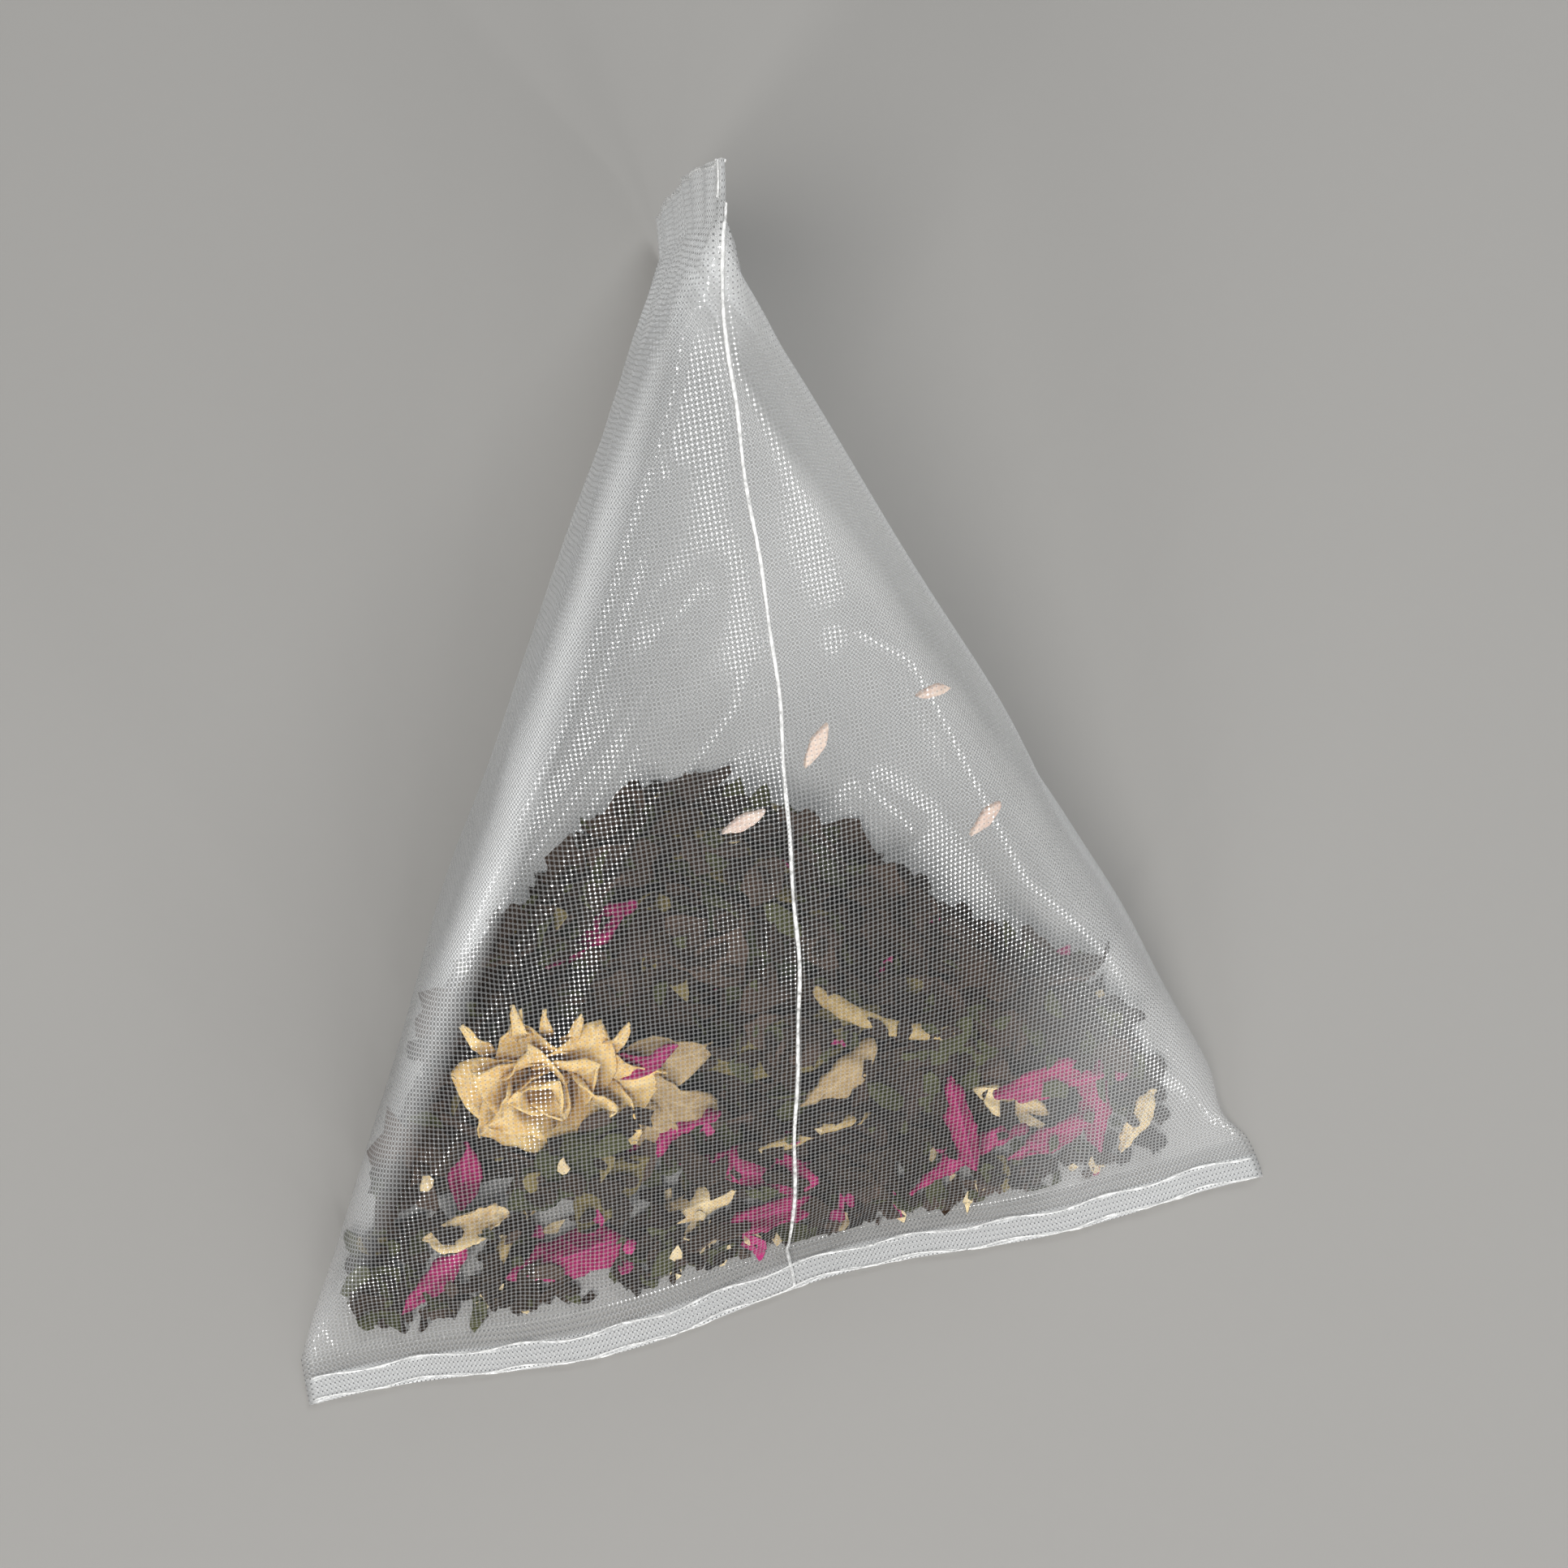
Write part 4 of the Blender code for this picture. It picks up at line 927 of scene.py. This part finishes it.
# Petals of the flower head, by finish: turn round the head and lean up from it in degrees,
# millimetres right and up of its middle, length and width, and how much it cups
FLOWER_PETALS = (
    ("flower", (
        (8, 12, 0.6, -0.6, 5.4, 4.6, 0.5), (58, 16, 0.3, 0.2, 4.4, 4.2, 0.6),
        (112, 14, -0.6, 0.3, 4.2, 4.4, 0.5), (168, 10, -1.0, 0.0, 4.8, 4.6, 0.5),
        (214, 12, -0.8, -0.5, 4.6, 4.6, 0.6), (262, 12, 0.0, -0.6, 4.0, 4.6, 0.6),
        (314, 14, 0.8, -0.5, 4.8, 4.4, 0.5), (30, 38, -0.4, 0.4, 3.8, 3.8, 1.0),
        (95, 42, -1.2, 0.8, 3.6, 3.6, 1.1), (150, 36, -1.6, 0.5, 3.8, 3.8, 1.0),
        (205, 40, -1.2, -0.2, 3.6, 3.8, 1.0), (285, 38, -0.2, -0.5, 3.6, 3.8, 1.1),
        (345, 44, 0.4, 0.0, 3.6, 3.4, 1.1), (60, 64, -0.8, 0.5, 3.0, 2.8, 1.4),
        (180, 62, -1.2, 0.2, 3.0, 2.8, 1.4), (300, 66, -0.4, 0.0, 2.8, 2.6, 1.4),
        (82, 22, -2.2, 2.0, 3.8, 0.8, 0.3), (100, 26, -1.4, 2.2, 4.2, 0.8, 0.3),
        (70, 24, 0.4, 2.0, 3.6, 0.7, 0.3), (118, 20, -3.2, 1.8, 3.4, 0.8, 0.3),
        (55, 18, 2.2, 1.4, 3.4, 0.9, 0.3), (90, 30, -0.4, 2.4, 3.4, 0.7, 0.3),
    )),
    ("husk", (
        (12, 8, 3.6, 0.6, 5.0, 3.2, 0.4), (-16, 10, 3.4, -0.8, 5.4, 3.0, 0.4),
        (-40, 8, 3.0, -1.8, 4.2, 2.6, 0.4),
    )),
    ("pink", ((28, 18, 2.4, 0.4, 4.8, 1.5, 0.5),)),
)
FLOWER_CRUMPLE = (0.30 * MM, 1.0 * MM, 0.10 * MM)
FLOWER_MARGIN = 0.12 * MM
PETAL_THICKNESS = 0.10 * MM
PETAL_STEP = 0.10 * MM


def shape_petal(piece, length, width, cup, phase):
    """Turn a flat grid into a pointed petal along +X, cupped, curled back at its tip and
    ruffled at its rim. Returns its points; its flat places become its UV map."""
    points = points_of(piece.data)
    s, t = (points[:, 0] + 1) / 2, points[:, 1]
    half = width / 2 * np.sin(np.pi * (0.06 + 0.94 * s ** 0.8)).clip(0.0) ** 0.65 + 0.05 * MM
    ruffle = 0.10 * width * np.sin(7.0 * s + phase + 1.7 * t) * t * t
    curl = 0.25 * length * smooth_step((s - 0.6) / 0.5)
    lift = cup * t * t * half * 0.5 + ruffle - curl + 0.16 * length * s
    lay_uv(piece.data, "blade", np.stack([s * length, t * half], -1))
    return np.stack([s * length, t * half, lift], -1)


class TEABAG_OT_flower(bpy.types.Operator):
    """The dried flower head: crumpled pointed petals folded round each other"""
    bl_idname = "teabag.flower"
    bl_label = "Flower Head"

    def execute(self, context):
        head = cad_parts["flower_head"].data
        points, middle, axes = main_axes(head)
        out = outward(np.array(FLOWER_GIRTH), np.array(FLOWER_HEIGHT))
        up = np.array([0.0, 0.0, 1.0]) - out * out[2]
        up /= np.linalg.norm(up)
        side = np.cross(up, out)
        depth = (points - middle) @ out
        root = middle + out * (0.35 * depth.max() + 0.65 * depth.min())
        number = 0
        for finish, rows in FLOWER_PETALS:
            petals = []
            for turn, lean, right, rise, length, width, cup in rows:
                deselect()
                bpy.ops.mesh.primitive_grid_add(x_subdivisions=12, y_subdivisions=8, size=2,
                                                calc_uvs=False)
                petal = context.active_object
                shape = shape_petal(petal, length * MM, width * MM, cup, 2.3 * number)
                turn, lean = math.radians(turn), math.radians(lean)
                along = side * math.cos(turn) + up * math.sin(turn)
                run = along * math.cos(lean) + out * math.sin(lean)
                face = out * math.cos(lean) - along * math.sin(lean)
                place = root + side * right * MM + up * rise * MM + out * PETAL_STEP * (number % 7)
                shape = place + shape @ np.stack([run, np.cross(face, run), face])
                move_points(petal.data, shape)
                petals.append(petal)
                number += 1
            deselect()
            for petal in petals:
                petal.select_set(True)
            context.view_layer.objects.active = petals[0]
            if len(petals) > 1:
                bpy.ops.object.join()
            piece = context.active_object
            piece.name = piece.data.name = f"flower_{finish}"
            crumple(piece, *FLOWER_CRUMPLE)
            press_inside(piece, FLOWER_MARGIN)
            rim = piece.modifiers.new("thickness", "SOLIDIFY")
            rim.thickness = PETAL_THICKNESS
            rim.offset = 0.0
            apply_modifiers(piece)
            bpy.ops.object.shade_smooth()
            finish_piece(piece, finish, ["flower_head"] if finish == "flower" else ())
        return {"FINISHED"}


class TEABAG_OT_stalks(bpy.types.Operator):
    """Dried stalks"""
    bl_idname = "teabag.stalks"
    bl_label = "Stalks"

    def execute(self, context):
        for node in sorted(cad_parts):
            if node.startswith("stalk"):
                piece = copy_of(node, f"{node}_dried")
                subdivide(piece, 2)
                crumple(piece, 0.12 * MM, 0.8 * MM)
                bpy.ops.object.shade_smooth()
                finish_piece(piece, "straw", [node])
        return {"FINISHED"}


def flake(rng, points, stretch):
    """A broken flake: an irregular disc, bent, with a thin rim. Returns vertices and faces."""
    deselect()
    bpy.ops.mesh.primitive_circle_add(vertices=points, radius=1, fill_type="TRIFAN", calc_uvs=False)
    disc = bpy.context.active_object
    bend, lean = rng.uniform(-0.5, 0.5), rng.uniform(-0.4, 0.4)
    for vertex in disc.data.vertices:
        reach = rng.uniform(0.55, 1.05) if vertex.co.length > 0.5 else 0.0
        x, y = vertex.co.x * reach * stretch, vertex.co.y * reach
        vertex.co = (x, y, bend * x * x / stretch + lean * y * y)
    rim = disc.modifiers.new("thickness", "SOLIDIFY")
    rim.thickness = rng.uniform(0.10, 0.2)
    apply_modifiers(disc)
    vertices = [v.co.copy() for v in disc.data.vertices]
    faces = [tuple(f.vertices) for f in disc.data.polygons]
    bpy.data.objects.remove(disc)
    return vertices, faces


# Height that rays are cast down from, the largest crumb that may lie beside the heap, and the
# step up from a hit before the cloth above it is looked for
RAY_TOP = 0.06
FLOOR_CRUMB = 0.7 * MM
RAY_STEP = 0.3 * MM


class Heap:
    """Finds places on the heap's surface, under the mesh."""

    def __init__(self):
        vertices, faces, self.owner = [], [], []
        for name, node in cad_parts.items():
            if name.startswith(("mesh_bag", "stray")):
                continue
            start = len(vertices)
            vertices += [v.co.copy() for v in node.data.vertices]
            faces += [tuple(start + i for i in f.vertices) for f in node.data.polygons]
            self.owner += [name] * len(node.data.polygons)
        self.tea = BVHTree.FromPolygons(vertices, faces)
        self.fabric, _ = fabric_tree()
        self.front = SEAL_BAND - REST_Y + 6.0 * MM

    def keeps_clear(self, index, rng):
        """True where a crumb would hide a petal or the flower head, or too much of a leaf."""
        name = self.owner[index]
        if name.startswith("flower"):
            return True
        if name.startswith(("pink", "cream")):
            return rng.random() < 0.9
        return name != "crushed_leaf_bed" and rng.random() < 0.6

    def spot(self, x, y, size, lift, rng):
        """The place of a crumb above (x, y), or nothing where it would stick out of the mesh."""
        down = Vector((0, 0, -1))
        hit, normal, index, _ = self.tea.ray_cast(Vector((x, y, RAY_TOP)), down)
        if hit is None:
            return self.floor_spot(x, y, size, down) if size < FLOOR_CRUMB else None
        if self.keeps_clear(index, rng):
            return None
        top = self.fabric.ray_cast(hit + Vector((0, 0, RAY_STEP)), Vector((0, 0, 1)))[0]
        if top is None:
            return None
        room = top.z - hit.z
        place = hit + Vector((0, 0, min(lift, max(0.0, room - 2 * size))))
        if self.fabric.find_nearest(place)[3] < size:
            return None
        return place, (normal if normal.z > 0 else -normal)

    def floor_spot(self, x, y, size, down):
        """The place of a crumb that lies on the cloth itself, beside the heap."""
        top = self.fabric.ray_cast(Vector((x, y, RAY_TOP)), down)[0]
        if top is None or y > self.front or top.z < 3.0 * size + WALL:
            return None
        return Vector((x, y, WALL + size)), Vector((0, 0, 1))


# Where flakes are scattered, as two corners: over the heap, and along the near seal
HEAP_AREA = ((-24 * MM, -20 * MM), (23 * MM, 8 * MM))
EDGE_AREA = ((-21 * MM, SEAL_CREASE - REST_Y), (21 * MM, SEAL_BAND - REST_Y + 4.5 * MM))
FLAKE_MARGIN = 0.08 * MM


def scatter(name, heap, rng, count, sizes, lift, finish, points, area):
    """Scatter flakes over the heap as one piece; sizes and lift are in millimetres."""
    masters = [flake(rng, points, rng.uniform(1.0, 2.4)) for _ in range(10)]
    low, high = area
    vertices, faces = [], []
    made = tries = 0
    while made < count and tries < count * 12:
        tries += 1
        x, y = rng.uniform(low[0], high[0]), rng.uniform(low[1], high[1])
        size = rng.uniform(sizes[0] * MM, sizes[1] * MM)
        found = heap.spot(x, y, size, rng.random() ** 2 * (lift * MM), rng)
        turn = rng.uniform(0, 2 * math.pi)
        tilt = Vector((rng.gauss(0, 0.35), rng.gauss(0, 0.35), 0))
        master = rng.choice(masters)
        if found is None:
            continue
        place, normal = found
        up = (normal + tilt).normalized()
        matrix = up.to_track_quat("Z", "Y").to_matrix() @ Matrix.Rotation(turn, 3, "Z")
        start = len(vertices)
        vertices += [place + matrix @ (Vector(v) * size) for v in master[0]]
        faces += [tuple(start + i for i in face) for face in master[1]]
        made += 1
    piece = link(name, mesh_of(name, vertices, faces))
    press_inside(piece, FLAKE_MARGIN)
    finish_piece(piece, finish)


class TEABAG_OT_crumbs(bpy.types.Operator):
    """Crumbs, broken leaves and petal bits over and between the whole ones"""
    bl_idname = "teabag.crumbs"
    bl_label = "Crumbs"

    def execute(self, context):
        p = context.scene.tea_bag_tea
        rng = random.Random(p.seed)
        heap = Heap()
        for name, count, sizes, lift, finish, slot, points, area in (
                ("leaf_crumbs", p.crumbs, (0.30, 0.9), 1.2, "crushed", "crushed_leaf", 8, HEAP_AREA),
                ("green_crumbs", p.crumbs // 4, (0.3, 0.8), 1.2, "green", "dark_leaf", 8, HEAP_AREA),
                ("broken_leaves", p.fragments, (0.9, 1.9), 1.0, "dark", "dark_leaf", 12, HEAP_AREA),
                ("edge_crumbs", 90, (0.2, 0.6), 0.5, "dark", "dark_leaf", 8, EDGE_AREA),
                ("edge_pinks", 16, (0.3, 0.7), 0.5, "pink", "pink_petal", 8, EDGE_AREA),
                ("edge_creams", 26, (0.25, 0.6), 0.5, "cream", "cream_petal", 8, EDGE_AREA),
                ("pink_bits", p.bits // 4, (0.3, 0.8), 1.0, "pink", "pink_petal", 8, HEAP_AREA),
                ("cream_bits", p.bits // 4, (0.25, 0.6), 1.0, "cream", "cream_petal", 8, HEAP_AREA),
                ("olive_bits", p.bits // 2, (0.3, 0.8), 1.0, "olive", "olive_leaf", 8, HEAP_AREA)):
            scatter(name, heap, rng, count, sizes, lift, finish, points, area)
        return {"FINISHED"}


OPERATORS = (TEABAG_OT_stage, TEABAG_OT_fabric, TEABAG_OT_welds, TEABAG_OT_bed, TEABAG_OT_blades,
             TEABAG_OT_flower, TEABAG_OT_stalks, TEABAG_OT_crumbs)


class TEABAG_PT_panel(bpy.types.Panel):
    """Lists the pieces"""
    bl_label = "Tea Bag"
    bl_idname = "TEABAG_PT_panel"
    bl_space_type = "VIEW_3D"
    bl_region_type = "UI"
    bl_category = "Tea Bag"

    def draw(self, context):
        for operator in OPERATORS:
            self.layout.operator(operator.bl_idname)


SETTINGS = (("tea_bag_stage", TeaBagStage), ("tea_bag_fabric", TeaBagFabric),
            ("tea_bag_tea", TeaBagTea))
CLASSES = tuple(kind for _, kind in SETTINGS) + OPERATORS + (TEABAG_PT_panel,)


def register():
    for each in CLASSES:
        bpy.utils.register_class(each)
    for name, kind in SETTINGS:
        setattr(bpy.types.Scene, name, bpy.props.PointerProperty(type=kind))


def unregister():
    for name, _ in SETTINGS:
        delattr(bpy.types.Scene, name)
    for each in reversed(CLASSES):
        bpy.utils.unregister_class(each)


def main():
    register()
    bpy.ops.teabag.stage()
    bpy.ops.teabag.fabric()
    bpy.ops.teabag.welds()
    bpy.ops.teabag.bed()
    bpy.ops.teabag.blades()
    bpy.ops.teabag.flower()
    bpy.ops.teabag.stalks()
    bpy.ops.teabag.crumbs()


if __name__ == "__main__":
    main()
